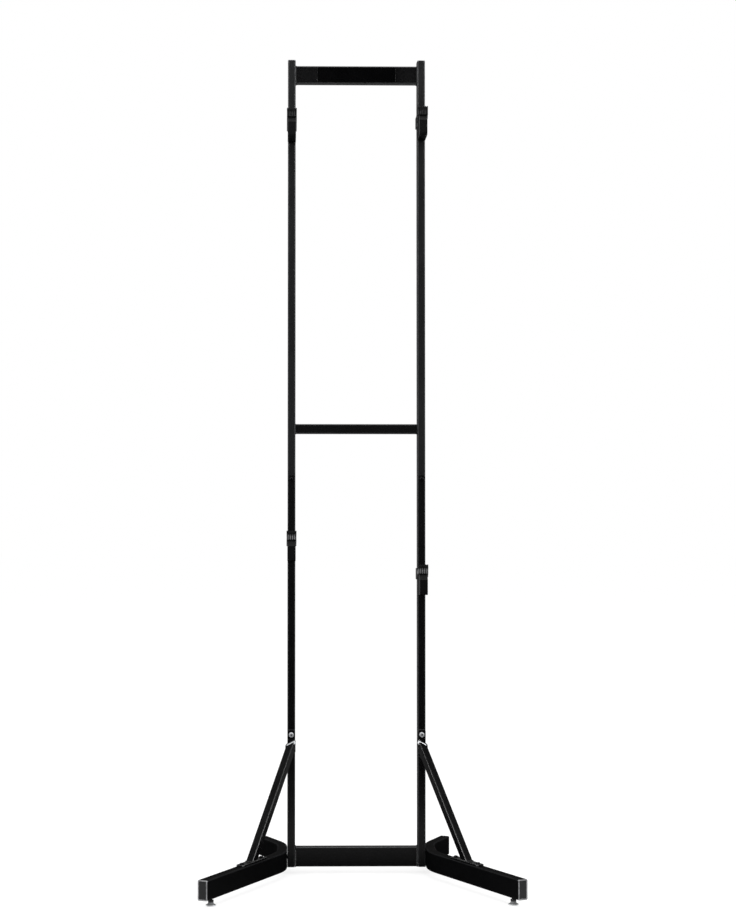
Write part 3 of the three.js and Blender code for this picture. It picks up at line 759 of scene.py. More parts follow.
def rims(verts: Iterable[BMVert], *heights: float) -> list[BMEdge]:
    """The level edges of a piece at some heights.

    Args:
        verts: The piece's vertices.
        heights: The heights.

    Returns:
        The edges.
    """
    return [
        edge for edge in edges_at(verts)
        if any(all(abs(vert.co.z - height) < TOUCH for vert in edge.verts) for height in heights)
    ]


def chain(bm: BMesh, points: Iterable[Sequence[float]]) -> list[BMEdge]:
    """Joins points by a run of edges."""
    verts = [bm.verts.new(point) for point in points]
    return [bm.edges.new(pair) for pair in zip(verts, verts[1:])]


def lathe(bm: BMesh, profile: Iterable[tuple[float, float]], steps: int) -> None:
    """Spins a profile about Z.

    Args:
        bm: The mesh.
        profile: Pairs of radius and height.
        steps: Segments in the full turn.
    """
    edges = chain(bm, [(radius, 0, height) for radius, height in profile])
    before = set(bm.faces)
    Sweep(bm, edges).turn(ORIGIN, AXIS_Z, math.tau, steps, closed=True)
    made = corners_of(edge for face in bm.faces if face not in before for edge in face.edges)
    bmesh.ops.remove_doubles(bm, verts=made, dist=TOUCH / 10)


def thread(bm: BMesh, diameter: float, pitch: float, low: float, high: float, steps: int = 18) -> None:
    """A threaded rod along Z.

    Args:
        bm: The mesh.
        diameter: Over the crests.
        pitch: The rise in a turn.
        low: Its lower end.
        high: Its upper end.
        steps: Segments in a turn.
    """
    crest = diameter / 2
    root = crest - pitch / 2
    turns = round((high - low) / pitch) - 1
    before = set(bm.verts)
    tooth = chain(bm, [(root, 0, low), (crest, 0, low + pitch / 2), (root, 0, low + pitch)])
    Sweep(bm, tooth).turn(ORIGIN, AXIS_Z, math.tau * turns, steps * turns, AXIS_Z * pitch / steps)
    bmesh.ops.remove_doubles(bm, verts=[vert for vert in bm.verts if vert not in before], dist=TOUCH)
    core = rod(bm, 2 * root + pitch * CORE_GROWTH, low, high, steps)
    round_edges(bm, rims(core, low, high), pitch * CORE_CHAMFER, steps=1)


def cut_corners(
    half_first: float, half_second: float, cut: float, dip: float = 0.0,
) -> list[tuple[float, float]]:
    """Goes once round a rectangle whose corners are cut off.

    Args:
        half_first: Half its first size.
        half_second: Half its second size.
        cut: How much of each corner is cut off.
        dip: How far in from the corner the cut has a middle point, if it has one.

    Returns:
        Pairs of the two coordinates.
    """
    points: list[tuple[float, float]] = []
    for first, second in ((1, -1), (1, 1), (-1, 1), (-1, -1)):
        corner = [(first * (half_first - cut), second * half_second)]
        if dip:
            corner.append((first * (half_first - dip), second * (half_second - dip)))
        corner.append((first * half_first, second * (half_second - cut)))
        points += corner if first != second else reversed(corner)
    return points[-1:] + points[:-1]


def add_bead(bm: BMesh, loop: Sequence[Vector], radius: float) -> None:
    """Lays a rippled weld bead along a closed line.

    Args:
        bm: The mesh.
        loop: The line's corners.
        radius: The bead's radius.
    """
    fine: list[Vector] = []
    for start, end in zip(loop, (*loop[1:], loop[0])):
        count = max(1, round((end - start).length / (BEAD_RIPPLE / 2)))
        fine += [start.lerp(end, index / count) for index in range(count)]
    curve = bpy.data.curves.new("bead", "CURVE")
    curve.dimensions = "3D"
    curve.bevel_depth = radius
    curve.bevel_resolution = 2
    spline = curve.splines.new("POLY")
    spline.points.add(len(fine) - 1)
    spline.use_cyclic_u = True
    for index, point in enumerate(fine):
        spline.points[index].co = (*point, 1.0)
        spline.points[index].radius = (1.0, BEAD_WAIST)[index % 2]
    holder = bpy.data.objects.new("bead", curve)
    bead = bpy.data.meshes.new_from_object(holder)
    bm.from_mesh(bead)
    bpy.data.objects.remove(holder)
    bpy.data.curves.remove(curve)
    bpy.data.meshes.remove(bead)


def settle(
    bm: BMesh, name: str, finish: Finish, body: str, nodes: Sequence[str] = (), side: Side = Side.RIGHT,
) -> None:
    """Turns a finished bmesh into a piece of the scene.

    Args:
        bm: The mesh, made for the right side. It is freed.
        name: The piece's name.
        finish: Its finish.
        body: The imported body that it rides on.
        nodes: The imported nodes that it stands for.
        side: The left side mirrors the mesh.
    """
    place(bm, Matrix.Diagonal((side.value, 1, 1, 1)))
    face_out(bm)
    for face in bm.faces:
        if len(face.verts) > FLAT_CORNERS:
            mark(bm, face.verts, 0.0)
    mesh = bpy.data.meshes.new(name)
    bm.to_mesh(mesh)
    bm.free()
    mesh.shade_smooth()
    mesh.set_sharp_from_angle(angle=SHARP_ANGLE)
    mesh.materials.append(finish.material())
    piece = add_object(name, mesh)
    piece.modifiers.new("weighted", "WEIGHTED_NORMAL").keep_sharp = True
    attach(piece, body)
    if nodes:
        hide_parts(*nodes)
    LOG.info("%s: %d faces, on %s", name, len(mesh.polygons), body)


# The frame's straight tubes


@dataclass
class StraightTube:
    """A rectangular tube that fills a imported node's box."""

    node: str
    along: int
    finish: Finish
    hollow_low: float = END_HOLLOW
    hollow_high: float = END_HOLLOW

    def build(self) -> None:
        """Makes the tube."""
        low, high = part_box(self.node)
        size = high - low
        bm = start_mesh()
        block = Matrix.Translation((low + high) / 2) @ Matrix.Diagonal((*size, 1))
        bmesh.ops.create_cube(bm, size=1.0, matrix=block)
        long = [
            edge for edge in bm.edges
            if abs((edge.verts[0].co - edge.verts[1].co)[self.along]) > size[self.along] / 2
        ]
        round_edges(bm, long, TUBE_CORNER, CORNER_STEPS)
        for sign, depth in ((-1, self.hollow_low), (1, self.hollow_high)):
            end = max(bm.faces, key=lambda face: sign * face.calc_center_median()[self.along])
            hollow(bm, end, TUBE_WALL, depth)
        settle(bm, f"{self.node}_tube", self.finish, "frame", [self.node])


@dataclass
class BarWelds:
    """The welds at both ends of a tube between the uprights."""

    node: str
    radius: float
    sunk_share: float = 1 / 4
    inset_share: float = 1 / 3

    def build(self) -> None:
        """Makes the two beads as one piece."""
        low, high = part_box(self.node)
        middle = (low + high) / 2
        sunk = self.radius * self.sunk_share
        inset = self.radius * self.inset_share
        ring = cut_corners(high.z - middle.z - sunk, high.y - middle.y - sunk, TUBE_CORNER, TUBE_CORNER_DIP)
        bm = start_mesh()
        for x in (low.x + inset, high.x - inset):
            add_bead(bm, [Vector((x, middle.y + y, middle.z + z)) for z, y in ring], self.radius)
        settle(bm, f"{self.node}_welds", WELD_COAT_PAINTED_HIGHLIGHT, "frame")


@dataclass
class SignPlate:
    """A bare plate on the front of the top panel."""

    width: float = 0.201
    height: float = 0.040
    thickness: float = 0.0012
    corner: float = 0.002
    edge: float = 0.0004

    def build(self) -> None:
        """Makes the plate."""
        low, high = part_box("top_panel")
        bm = start_mesh()
        outline = rounded_section(bm, self.width, self.height, self.corner, steps=4)
        Sweep(bm, outline).forward((0, self.thickness, 0)).cap()
        round_edges(bm, outline, self.edge)
        move(bm, (0, low.y - self.thickness, (low.z + high.z) / 2))
        settle(bm, "sign_plate", SIGN_GLOSS, "frame")


# Plugs, fasteners and feet


@dataclass
class Plug:
    """A moulded plug in a tube's end, with a raised rim where it is sunk."""

    node: str
    width: float
    depth: float
    flange: float
    outward: Vector
    across: Vector
    seat: Vector
    sunk: float = 0.0
    rim: float = 0.0026
    edge: float = 0.0008
    skirt_gap: float = 0.0018
    skirt_depth: float = 0.012
    skirt_wall: float = 0.002
    sunk_slope: float = 0.0002
    sunk_edge_share: float = 0.9

    def build(self, side: Side) -> None:
        """Makes the plug, with its flange outwards from its seat.

        Args:
            side: The side that it is on.
        """
        bm = start_mesh()
        outline = rounded_section(bm, self.width, self.depth, TUBE_CORNER)
        bottom = outline[0].link_faces[0]
        top = Sweep(bm, outline).forward((0, self.flange, 0)).cap()
        face_out(bm)
        if self.sunk:
            bmesh.ops.inset_region(bm, faces=[top], thickness=self.rim)
            # The raised rim round the recess takes the full rim tint: a painted highlight, with some wear.
            mark(bm, top.verts, 1.0)
            bmesh.ops.inset_region(bm, faces=[top], thickness=self.sunk_slope, depth=-self.sunk)
        bmesh.ops.inset_region(bm, faces=[bottom], thickness=self.skirt_gap)
        skirt = bmesh.ops.extrude_discrete_faces(bm, faces=[bottom])["faces"][0]
        move(bm, (0, -self.skirt_depth, 0), skirt.verts)
        face_out(bm)
        hollow(bm, skirt, self.skirt_wall, self.skirt_depth)
        outer = [
            edge for edge in bm.edges
            if all(abs(vert.co.y - self.flange) < TOUCH for vert in edge.verts)
            and edge.calc_face_angle(0) > RIM_ANGLE
        ]
        round_edges(bm, outer, self.edge * (self.sunk_edge_share if self.sunk else 1.0), steps=3)
        upright = AXIS_Z if abs(self.outward.z) < 0.5 else AXIS_Y
        place(bm, axes_at(self.seat, self.across, self.outward, upright))
        node = f"{self.node}_{side.label}"
        settle(bm, f"{node}_cap", GREY_MOULDING, "frame", [node], side)


@dataclass(frozen=True)
class ButtonScrew:
    """A round head screw with a hexagon socket."""

    shank: float
    head: float
    height: float
    socket: float
    length: float
    sides: int = 24
    foot_share: float = 0.97
    foot_rise: float = 0.05
    dome_steps: int = 6
    dome_low: float = 0.16
    dome_flat: float = 0.68
    socket_depth: float = 0.75

    def draw(self, bm: BMesh) -> None:
        """Draws the screw with its head on z = 0, facing up.

        Args:
            bm: The mesh.
        """
        radius = self.head / 2
        flat = self.socket * self.dome_flat
        profile = [
            (self.shank / 2, -self.length), (self.shank / 2, 0),
            (radius * self.foot_share, 0), (radius, self.height * self.foot_rise),
        ]
        for step in range(self.dome_steps + 1):
            angle = math.pi / 2 * step / self.dome_steps
            rise = self.dome_low + (1 - self.dome_low) * math.sin(angle)
            profile.append((flat + (radius - flat) * math.cos(angle), self.height * rise))
        lathe(bm, profile, self.sides)
        open_edges = [edge for edge in bm.edges if edge.is_boundary]
        top = [edge for edge in open_edges if edge.verts[0].co.z > 0]
        bmesh.ops.edgeloop_fill(bm, edges=[edge for edge in open_edges if edge not in top])
        ring = bmesh.ops.create_circle(
            bm, cap_ends=False, segments=6, radius=self.socket / math.sqrt(3),
            matrix=Matrix.Translation((0, 0, self.height)),
        )["verts"]
        bmesh.ops.subdivide_edges(bm, edges=edges_at(ring), cuts=self.sides // 6 - 1)
        inner = [edge for edge in bm.edges if edge.is_wire]
        bmesh.ops.bridge_loops(bm, edges=top + inner)
        Sweep(bm, inner).forward((0, 0, -self.height * self.socket_depth)).cap()


@dataclass(frozen=True)
class HexBolt:
    """A hexagon head bolt on a washer."""

    shank: float = 0.008
    flats: float = 0.013
    head: float = 0.0053
    head_edge: float = 0.0005
    crown: float = 0.00025
    crown_root: float = 0.0004
    crown_share: float = 0.42
    crown_root_share: float = 0.44
    washer: float = 0.016
    washer_height: float = 0.0016
    washer_edge: float = 0.0003
    length: float = 0.040
    washer_sides: int = 40
    crown_sides: int = 32
    shank_sides: int = 24

    def draw(self, bm: BMesh) -> None:
        """Draws the bolt with its washer on z = 0, facing up.

        Args:
            bm: The mesh.
        """
        disc = rod(bm, self.washer, 0, self.washer_height, self.washer_sides)
        round_edges(bm, rims(disc, self.washer_height), self.washer_edge)
        top = self.washer_height + self.head
        hexagon(bm, self.flats, self.washer_height, top, self.head_edge, steps=3)
        crown = top + self.crown
        root = (self.flats * self.crown_root_share, top - self.crown_root)
        lathe(bm, [root, (self.flats * self.crown_share, crown), (0, crown)], self.crown_sides)
        rod(bm, self.shank, -self.length, 0, self.shank_sides)


@dataclass
class FrameScrews:
    """All the frame's fasteners on one side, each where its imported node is."""

    side: Side
    small: ButtonScrew = ButtonScrew(shank=0.006, head=0.0105, height=0.0033, socket=0.004, length=0.011)
    large: ButtonScrew = ButtonScrew(shank=0.008, head=0.0136, height=0.0044, socket=0.005, length=0.014)
    hexagonal: HexBolt = HexBolt()
    joint_back: float = 0.00005

    def build(self) -> None:
        """Makes the side's fasteners."""
        self._set("joint_screw", self.small, Z_TO_FRONT, DARK_STEEL, self.joint_back)
        self._set("brace_top_bolt", self.large, Z_TO_FRONT, ZINC)
        for end in ("front", "rear"):
            self._set(f"brace_foot_bolt_{end}", self.small, Matrix(), DARK_STEEL)
            self._set(f"leg_bolt_{end}", self.hexagonal, Z_TO_RIGHT, ZINC)

    def _set(
        self, fastener: str, screw: ButtonScrew | HexBolt, turn: Matrix, finish: Finish, back: float = 0.0,
    ) -> None:
        """Sets one fastener so that its outermost point is its node's.

        Args:
            fastener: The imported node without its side.
            screw: What to draw.
            turn: Turns it from facing up.
            finish: Its finish.
            back: How far it is drawn back from there.
        """
        node = f"{fastener}_{self.side.label}"
        low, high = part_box(node)
        bm = start_mesh()
        screw.draw(bm)
        top = max(vert.co.z for vert in bm.verts)
        direction = turn.to_3x3() @ AXIS_Z
        middle = (low + high) / 2
        middle.x = abs(middle.x)
        reach = Vector((max(abs(low.x), abs(high.x)), low.y, high.z))
        tip = Vector([reach[i] if abs(direction[i]) > 0.5 else middle[i] for i in range(3)])
        place(bm, Matrix.Translation(tip - direction * (top + back)) @ turn)
        settle(bm, f"{node}_screw", finish, "frame", [node], self.side)


@dataclass
class LevellingFoot:
    """A pad with its threaded stem, under one end of a leg."""

    side: Side
    end: str
    rim: float = 0.0025
    rim_edge: float = 0.0005
    neck: float = 0.0065
    play: float = 0.0003
    stem: float = 0.008
    collar_flats: float = 0.013
    collar_top: float = 0.0048
    collar_edge: float = 0.0004
    flare_inset: float = 0.0009
    flare_out: float = 2.2
    flare_up: float = 1.2
    flare_steps: int = 8
    sides: int = 48

    def build(self) -> None:
        """Makes the pad and the stem."""
        name = f"{self.end}_{self.side.label}"
        low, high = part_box(f"foot_pad_{name}")
        centre = (abs(low.x + high.x) / 2, (low.y + high.y) / 2, 0)
        radius = (high.x - low.x) / 2
        top = high.z
        edge = self.rim_edge
        socket = (self.stem / 2 + self.play, self.rim)
        disc = [
            (0, 0), (radius - edge, 0), (radius, edge), (radius, self.rim - edge), (radius - edge, self.rim),
            socket, (0, self.rim),
        ]
        flare = []
        for step in range(self.flare_steps + 1):
            rise = step / self.flare_steps
            out = (radius - self.flare_inset - self.neck) * (1 - rise) ** self.flare_out
            flare.append((self.neck + out, self.rim + (top - self.rim - self.play) * rise ** self.flare_up))
        neck = [socket, *flare, (self.neck - self.play, top), (socket[0], top), socket]
        # The pad is one moulding: its neck and flare take a darker copy of its plastic, as painted shade
        # under the leg.
        for part, profile, finish, nodes in (
            ("disc", disc, PALE_PLASTIC, [f"foot_pad_{name}"]), ("neck", neck, PAD_PLASTIC_PAINTED_SHADE, []),
        ):
            bm = start_mesh()
            lathe(bm, profile, self.sides)
            move(bm, centre)
            settle(bm, f"foot_pad_{name}_{part}", finish, f"pad_{name}", nodes, self.side)
        low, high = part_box(f"foot_stem_{name}")
        bm = start_mesh()
        thread(bm, self.stem, THREAD_PITCH, low.z, high.z)
        hexagon(bm, self.collar_flats, top + self.play, top + self.collar_top, self.collar_edge)
        move(bm, centre)
        settle(bm, f"foot_stem_{name}_thread", DARK_STEEL, f"stem_{name}", [f"foot_stem_{name}"], self.side)


# Legs and braces


@dataclass
class LegPath:
    """The line of a right leg seen from above, and the sizes that its pieces share."""

    centre_y: float
    upright_x: float
    half_depth: float = 0.020
    leg_x: float = 0.1888
    front_angle: float = math.radians(26.6)
    rear_angle: float = math.radians(25)
    radius: float = 0.150
    flat: float = 0.051
    front_length: float = 0.460
    rear_length: float = 0.117
    bottom: float = 0.018
    height: float = 0.048
    thickness: float = 0.025

    def __post_init__(self) -> None:
        """Works out the bends and the ends."""
        self.front_run = Vector((math.sin(self.front_angle), -math.cos(self.front_angle), 0))
        self.rear_run = Vector((math.sin(self.rear_angle), math.cos(self.rear_angle), 0))
        self.start = Vector((self.upright_x, self.centre_y - self.half_depth, 0))
        vertex = self.start.y - (self.leg_x - self.upright_x) / math.tan(self.front_angle)
        flat_front = vertex + self.radius * math.tan(self.front_angle / 2)
        flat_rear = flat_front + self.flat
        rear_vertex = flat_rear + self.radius * math.tan(self.rear_angle / 2)
        self.front_end = self.start + self.front_run * self.front_length
        self.rear_end = Vector((self.leg_x, rear_vertex, 0)) + self.rear_run * self.rear_length
        self.bend_front = Vector((self.leg_x + self.radius, flat_front, 0))
        self.bend_rear = Vector((self.leg_x + self.radius, flat_rear, 0))


@dataclass
class Leg:
    """One bent tube on edge, with its two end caps and two feet."""

    side: Side
    path: LegPath
    bend_steps: int = 14
    cap_gap: float = 0.0003
    cap_flange: float = 0.003
    cap_sunk: float = 0.001

    def build(self) -> None:
        """Makes the tube, its caps and its feet."""
        path = self.path
        bm = start_mesh()
        outline = rounded_section(bm, path.thickness, path.height, TUBE_CORNER)
        first = outline[0].link_faces[0]
        middle = AXIS_Z * (path.bottom + path.height / 2)
        place(bm, Matrix.Translation(path.front_end + middle) @ Matrix.Rotation(path.front_angle, 4, "Z"))
        meet = path.bend_front + AXIS_Z.cross(path.front_run) * -path.radius
        leave = path.bend_rear + AXIS_Z.cross(path.rear_run) * path.radius
        sweep = Sweep(bm, outline)
        sweep.forward(meet - path.front_end)
        sweep.turn(path.bend_front, AXIS_Z, -path.front_angle, self.bend_steps)
        sweep.forward((0, path.flat, 0))
        sweep.turn(path.bend_rear, AXIS_Z, -path.rear_angle, self.bend_steps)
        last = sweep.forward(path.rear_end - leave).cap()
        face_out(bm)
        for face in (first, last):
            hollow(bm, face, TUBE_WALL, END_HOLLOW)
        node = f"leg_{self.side.label}"
        settle(bm, f"{node}_tube", LEG_COAT, "frame", [node], self.side)
        ends = {"front": (path.front_end, path.front_run), "rear": (path.rear_end, path.rear_run)}
        for end, (point, run) in ends.items():
            Plug(
                f"leg_end_cap_{end}", path.thickness, path.height, self.cap_flange, run, run.cross(AXIS_Z),
                point + run * self.cap_gap + middle, self.cap_sunk,
            ).build(self.side)
            LevellingFoot(self.side, end).build()


@dataclass
class Brace:
    """The square brace of one side, with its bolt tab, foot plate, welds and a bright zinc strip that is a
    painted highlight.
    """

    side: Side
    path: LegPath
    width: float = 0.020
    foot_run: float = 0.216
    top_height: float = 0.319
    tab_top: float = 0.367
    tab_height: float = 0.070
    plate: float = 0.004
    plate_length: float = 0.126
    plate_width: float = 0.021
    plate_corner: float = 0.005
    plate_edge: float = 0.0006
    gap: float = 0.0003
    overrun: float = 0.04
    bead: float = 0.0018
    bead_out: float = 0.0002
    bead_corner: float = 0.0015
    # The strip is bright zinc standing for a painted highlight in the corner above the tube.
    strip_width: float = 0.0232
    strip_height: float = 0.0088
    strip_thickness: float = 0.0016
    strip_drop: float = 0.0050
    strip_out: float = 0.0029

    def build(self) -> None:
        """Makes the weldment, its welds and its painted-highlight strip."""
        path = self.path
        self.tab_y = path.start.y - self.gap - self.plate
        self.low = path.start + path.front_run * self.foot_run
        self.low.z = path.bottom + path.height + self.gap + self.plate
        top = path.start + path.front_run * ((self.gap + self.plate) / math.cos(path.front_angle))
        self.high = Vector((top.x, self.tab_y, self.top_height))
        self.axis = (self.high - self.low).normalized()
        self.across = AXIS_Z.cross(path.front_run)
        self.face = self.axis.cross(self.across)
        self._tube()
        self._welds()
        self._strip()

    def _tube(self) -> None:
        """Makes the tube between its two bolt plates, as one piece."""
        bm = start_mesh()
        outline = rounded_section(bm, self.width, self.width, TUBE_CORNER)
        place(bm, axes_at(self.low - self.axis * self.overrun, self.across, self.axis, -self.face))
        length = (self.high - self.low).length + 2 * self.overrun
        Sweep(bm, outline).forward(self.axis * length).cap()
        half = self.plate / 2
        for point, away in ((self.high + AXIS_Y * half, AXIS_Y), (self.low - AXIS_Z * half, -AXIS_Z)):
            everything = [*bm.verts, *bm.edges, *bm.faces]
            cut = bmesh.ops.bisect_plane(bm, geom=everything, plane_co=point, plane_no=away, clear_outer=True)
            bmesh.ops.edgeloop_fill(bm, edges=of_kind(cut["geom_cut"], BMEdge))
        tab = (self.path.upright_x, self.tab_y, self.tab_top - self.tab_height / 2)
        self._plate(bm, self.width, self.tab_height, Matrix.Translation(tab))
        along_leg = Matrix.Rotation(self.path.front_angle, 4, "Z") @ Z_TO_BACK
        self._plate(bm, self.plate_width, self.plate_length, Matrix.Translation(self.low) @ along_leg)
        node = f"brace_{self.side.label}"
        # The brace's coat has a painted highlight on its rounded edges.
        settle(bm, f"{node}_tube", BRACE_COAT_PAINTED_HIGHLIGHT, "frame", [node], self.side)

    def _plate(self, bm: BMesh, width: float, length: float, matrix: Matrix) -> None:
        """Draws a bolt plate with its outer rim rounded.

        Args:
            bm: The mesh.
            width: Its size along X.
            length: Its size along Z.
            matrix: Takes it from the XZ plane, with its back towards Y, to its place.
        """
        outline = rounded_section(bm, width, length, self.plate_corner)
        place(bm, matrix, corners_of(outline))
        Sweep(bm, outline).forward(matrix.to_3x3() @ AXIS_Y * self.plate).cap()
        round_edges(bm, outline, self.plate_edge)

    def _welds(self) -> None:
        """Makes the beads where the tube meets its plates."""
        half = self.width / 2 + self.bead_out
        bm = start_mesh()
        for plane, normal in ((self.high, AXIS_Y), (self.low, AXIS_Z)):
            loop = []
            for across, out in cut_corners(half, half, self.bead_corner):
                origin = self.low + self.across * across + self.face * out
                reach = (plane - origin).dot(normal) / self.axis.dot(normal)
                loop.append(origin + self.axis * reach)
            add_bead(bm, loop, self.bead)
        settle(bm, f"brace_{self.side.label}_welds", WELD_COAT_PAINTED_HIGHLIGHT, "frame", side=self.side)

    def _strip(self) -> None:
        """Makes the bright zinc strip in the corner between the tube's upper face and its tab: a painted
        highlight where that corner catches light.
        """
        upper = self.face if self.face.z > 0 else -self.face
        across = upper.cross(AXIS_Y).normalized()
        normal = (upper - AXIS_Y).normalized()
        bm = start_mesh()
        size = Matrix.Diagonal((self.strip_width, self.strip_thickness, self.strip_height, 1))
        bmesh.ops.create_cube(bm, size=1.0, matrix=size)
        round_edges(bm, bm.edges, self.plate_edge)
        rise = self.width / 2 / upper.z - self.strip_drop
        middle = self.high + AXIS_Z * rise + normal * self.strip_out
        middle.x = self.path.upright_x
        place(bm, axes_at(middle, across, normal, across.cross(normal)))
        # Bright zinc, as a painted highlight.
        settle(bm, f"brace_{self.side.label}_strip", ZINC, "frame", side=self.side)


# Cradles


@dataclass
class Cradle:
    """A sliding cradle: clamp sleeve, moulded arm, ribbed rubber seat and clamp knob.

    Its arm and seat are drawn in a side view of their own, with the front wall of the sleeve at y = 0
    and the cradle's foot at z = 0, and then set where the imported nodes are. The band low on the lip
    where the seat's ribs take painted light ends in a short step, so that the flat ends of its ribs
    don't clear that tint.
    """

    tier: str
    side: Side
    # How much of the ribs' painted light the cradle takes; less of it is painted shade.
    rib_painted_light: float = 1.0
    back: float = 0.005
    seat_width: float = 0.050
    seat_radius: float = 0.015
    seat_height: float = 0.048
    seat_floor: float = 0.004
    lip: float = 0.007
    lip_top: float = 0.072
    lip_neck: float = 0.053
    # The band low on the lip where the ribs take painted light, and the steps at its end.
    worn_band: float = 0.009
    worn_steps: tuple[float, float] = (0.8, 0.2)
    sleeve_low: float = 0.036
    sleeve_top: float = 0.064
    sleeve_wall: float = 0.0022
    sleeve_play: float = 0.0004
    sleeve_corner: float = 0.0042
    sleeve_edge: float = 0.0005
    boss: float = 0.015
    boss_height: float = 0.006
    boss_edge: float = 0.0008
    boss_sides: int = 36
    reach: float = 0.077
    shoulder: float = 0.038
    toe: float = 0.007
    arm_width: float = 0.021
    arm_edge: float = 0.0016
    head_width: float = 0.025
    head_edge: float = 0.0005
    gap: float = 0.0003
    rubber: float = 0.003
    rubber_corner: float = 0.0009
    rib: float = 0.0014
    rib_width: float = 0.0021
    rib_corner: float = 0.0008
    ribs: int = 6
    grip: float = 0.017
    grip_edge: float = 0.0015
    grip_sides: int = 96
    lobes: int = 6
    lobe_depth: float = 0.09
    dish_rim: float = 0.0022
    dish_slope: float = 0.0008
    dish_depth: float = 0.0009
    stud: float = 0.008
    stud_sunk: float = 0.001
    arc_steps: int = 8
    toe_steps: int = 6

    def build(self) -> None:
        """Makes the cradle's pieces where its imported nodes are."""
        self.label = f"{self.tier}_{self.side.label}"
        low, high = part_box(f"cradle_sleeve_{self.label}")
        self.x = (low.x + high.x) / 2
        self.base = low.z - self.sleeve_low
        self.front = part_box(f"cradle_arm_{self.label}")[0].y + self.reach
        self._sleeve()
        self._arm()
        self._seat()
        self._knob()

    def _rail(self, sweep: Sweep) -> Sweep:
        """Takes a sweep from the top of the back wall over the seat and the lip, down to the neck.

        Args:
            sweep: It starts at the height of the sleeve's top.

        Returns:
            The sweep.
        """
        seat = self.seat_height + self.seat_radius
        near = -(self.back + self.seat_radius)
        far = -(self.back + self.seat_width - self.seat_radius)
        crest = self.lip_top - self.lip / 2
        sweep.forward((0, 0, seat - self.sleeve_top))
        sweep.turn((0, near, seat), AXIS_X, -math.pi / 2, self.arc_steps)
        sweep.forward((0, far - near, 0))
        sweep.turn((0, far, seat), AXIS_X, -math.pi / 2, self.arc_steps)
        sweep.forward((0, 0, crest - seat))
        sweep.turn((0, -(self.back + self.seat_width + self.lip / 2), crest), AXIS_X, math.pi, self.arc_steps)
        sweep.forward((0, 0, self.lip_neck + self.worn_band - crest))
        for share in self.worn_steps:
            sweep.forward((0, 0, -self.worn_band * share))
        return sweep

    def _slab(
        self, bm: BMesh, way: Iterable[Sequence[float]], width: float, edge: float, toe: float = 0.0,
    ) -> None:
        """Draws a side outline that follows the rail, closes it and gives it a width.

        Args:
            bm: The mesh.
            way: The straight steps from the neck back to the sleeve.
            width: The width.
            edge: The round of its two rims.
            toe: The radius of the foot's front corner, after the second step, if it has one.
        """
        sweep = self._rail(Sweep(bm, [], [bm.verts.new((0, -self.back, self.sleeve_top))]))
        for index, step in enumerate(way):
            sweep.forward(step)
            if toe and index == 1:
                sweep.turn((0, toe - self.reach, toe), AXIS_X, math.pi / 2, self.toe_steps)
        bm.edges.new((sweep.verts[0], sweep.first))
        outline = edges_at(island([sweep.first]))
        face = bmesh.ops.edgeloop_fill(bm, edges=outline)["faces"][0]
        far = bmesh.ops.extrude_discrete_faces(bm, faces=[face])["faces"][0]
        move(bm, (width, 0, 0), far.verts)
        slab = island([sweep.first])
        bmesh.ops.edgeloop_fill(bm, edges=[edge for edge in edges_at(slab) if edge.is_boundary])
        move(bm, (-width / 2, 0, 0), slab)
        face_out(bm)
        flat = [one for one in edges_at(slab) if abs(one.verts[0].co.x - one.verts[1].co.x) < TOUCH]
        round_edges(bm, flat, edge, steps=3)

    def _sleeve(self) -> None:
        """Makes the clamp sleeve with its nut boss."""
        low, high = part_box(f"lower_upright_{self.side.label}")
        wall = self.sleeve_wall
        grown = 2 * (self.sleeve_play + wall)
        depth = high.y - low.y + grown
        height = self.sleeve_top - self.sleeve_low
        bm = start_mesh()
        outline = rounded_section(bm, high.x - low.x + grown, depth, self.sleeve_corner)
        place(bm, Z_TO_BACK)
        ends = [outline[0].link_faces[0], Sweep(bm, outline).forward((0, 0, height)).cap()]
        face_out(bm)
        for end in ends:
            bmesh.ops.inset_region(bm, faces=[end], thickness=wall)
        inner = [edge for end in ends for edge in end.edges]
        bmesh.ops.delete(bm, geom=ends, context="FACES_ONLY")
        bmesh.ops.bridge_loops(bm, edges=inner)
        face_out(bm)
        rim = [edge for edge in rims(bm.verts, 0, height) if edge.calc_face_angle(0) > RIM_ANGLE]
        round_edges(bm, rim, self.sleeve_edge)
        boss_top = depth / 2 + self.boss_height
        boss = rod(bm, self.boss, (depth - wall) / 2, boss_top, self.boss_sides)
        round_edges(bm, rims(boss, boss_top), self.boss_edge)
        place(bm, Matrix.Translation((0, 0, height / 2)) @ Z_TO_BACK, island(boss))
        move(bm, (self.x, (low.y + high.y) / 2, self.base + self.sleeve_low))
        # The upper sleeves take the lighter coat, as painted light from above.
        finish = PAINTED_LIGHT_COAT if self.tier == "upper" else BLACK_COAT
        self._settle(bm, "cradle_sleeve", "shell", finish)

    def _arm(self) -> None:
        """Makes the moulded arm: the web down to its foot, and the wider head round the seat."""
        bm = start_mesh()
        self._slab(bm, (
            (0, self.back + self.seat_width + self.lip - self.reach, self.shoulder - self.lip_neck),
            (0, 0, self.toe - self.shoulder),
            (0, self.reach - self.toe + self.sleeve_wall, 0),
            (0, 0, self.sleeve_low - self.gap),
            (0, -self.sleeve_wall - self.gap, 0),
            (0, 0, self.sleeve_top - self.sleeve_low + self.gap),
        ), self.arm_width, self.arm_edge, self.toe)
        self._slab(bm, (
            (0, self.lip, self.seat_height - self.seat_floor - self.lip_neck),
            (0, self.back + self.seat_width - self.gap, 0),
            (0, 0, self.sleeve_top - self.seat_height + self.seat_floor),
        ), self.head_width, self.head_edge)
        move(bm, (self.x, self.front, self.base))
        self._settle(bm, "cradle_arm", "moulding", BLACK_MOULDING)

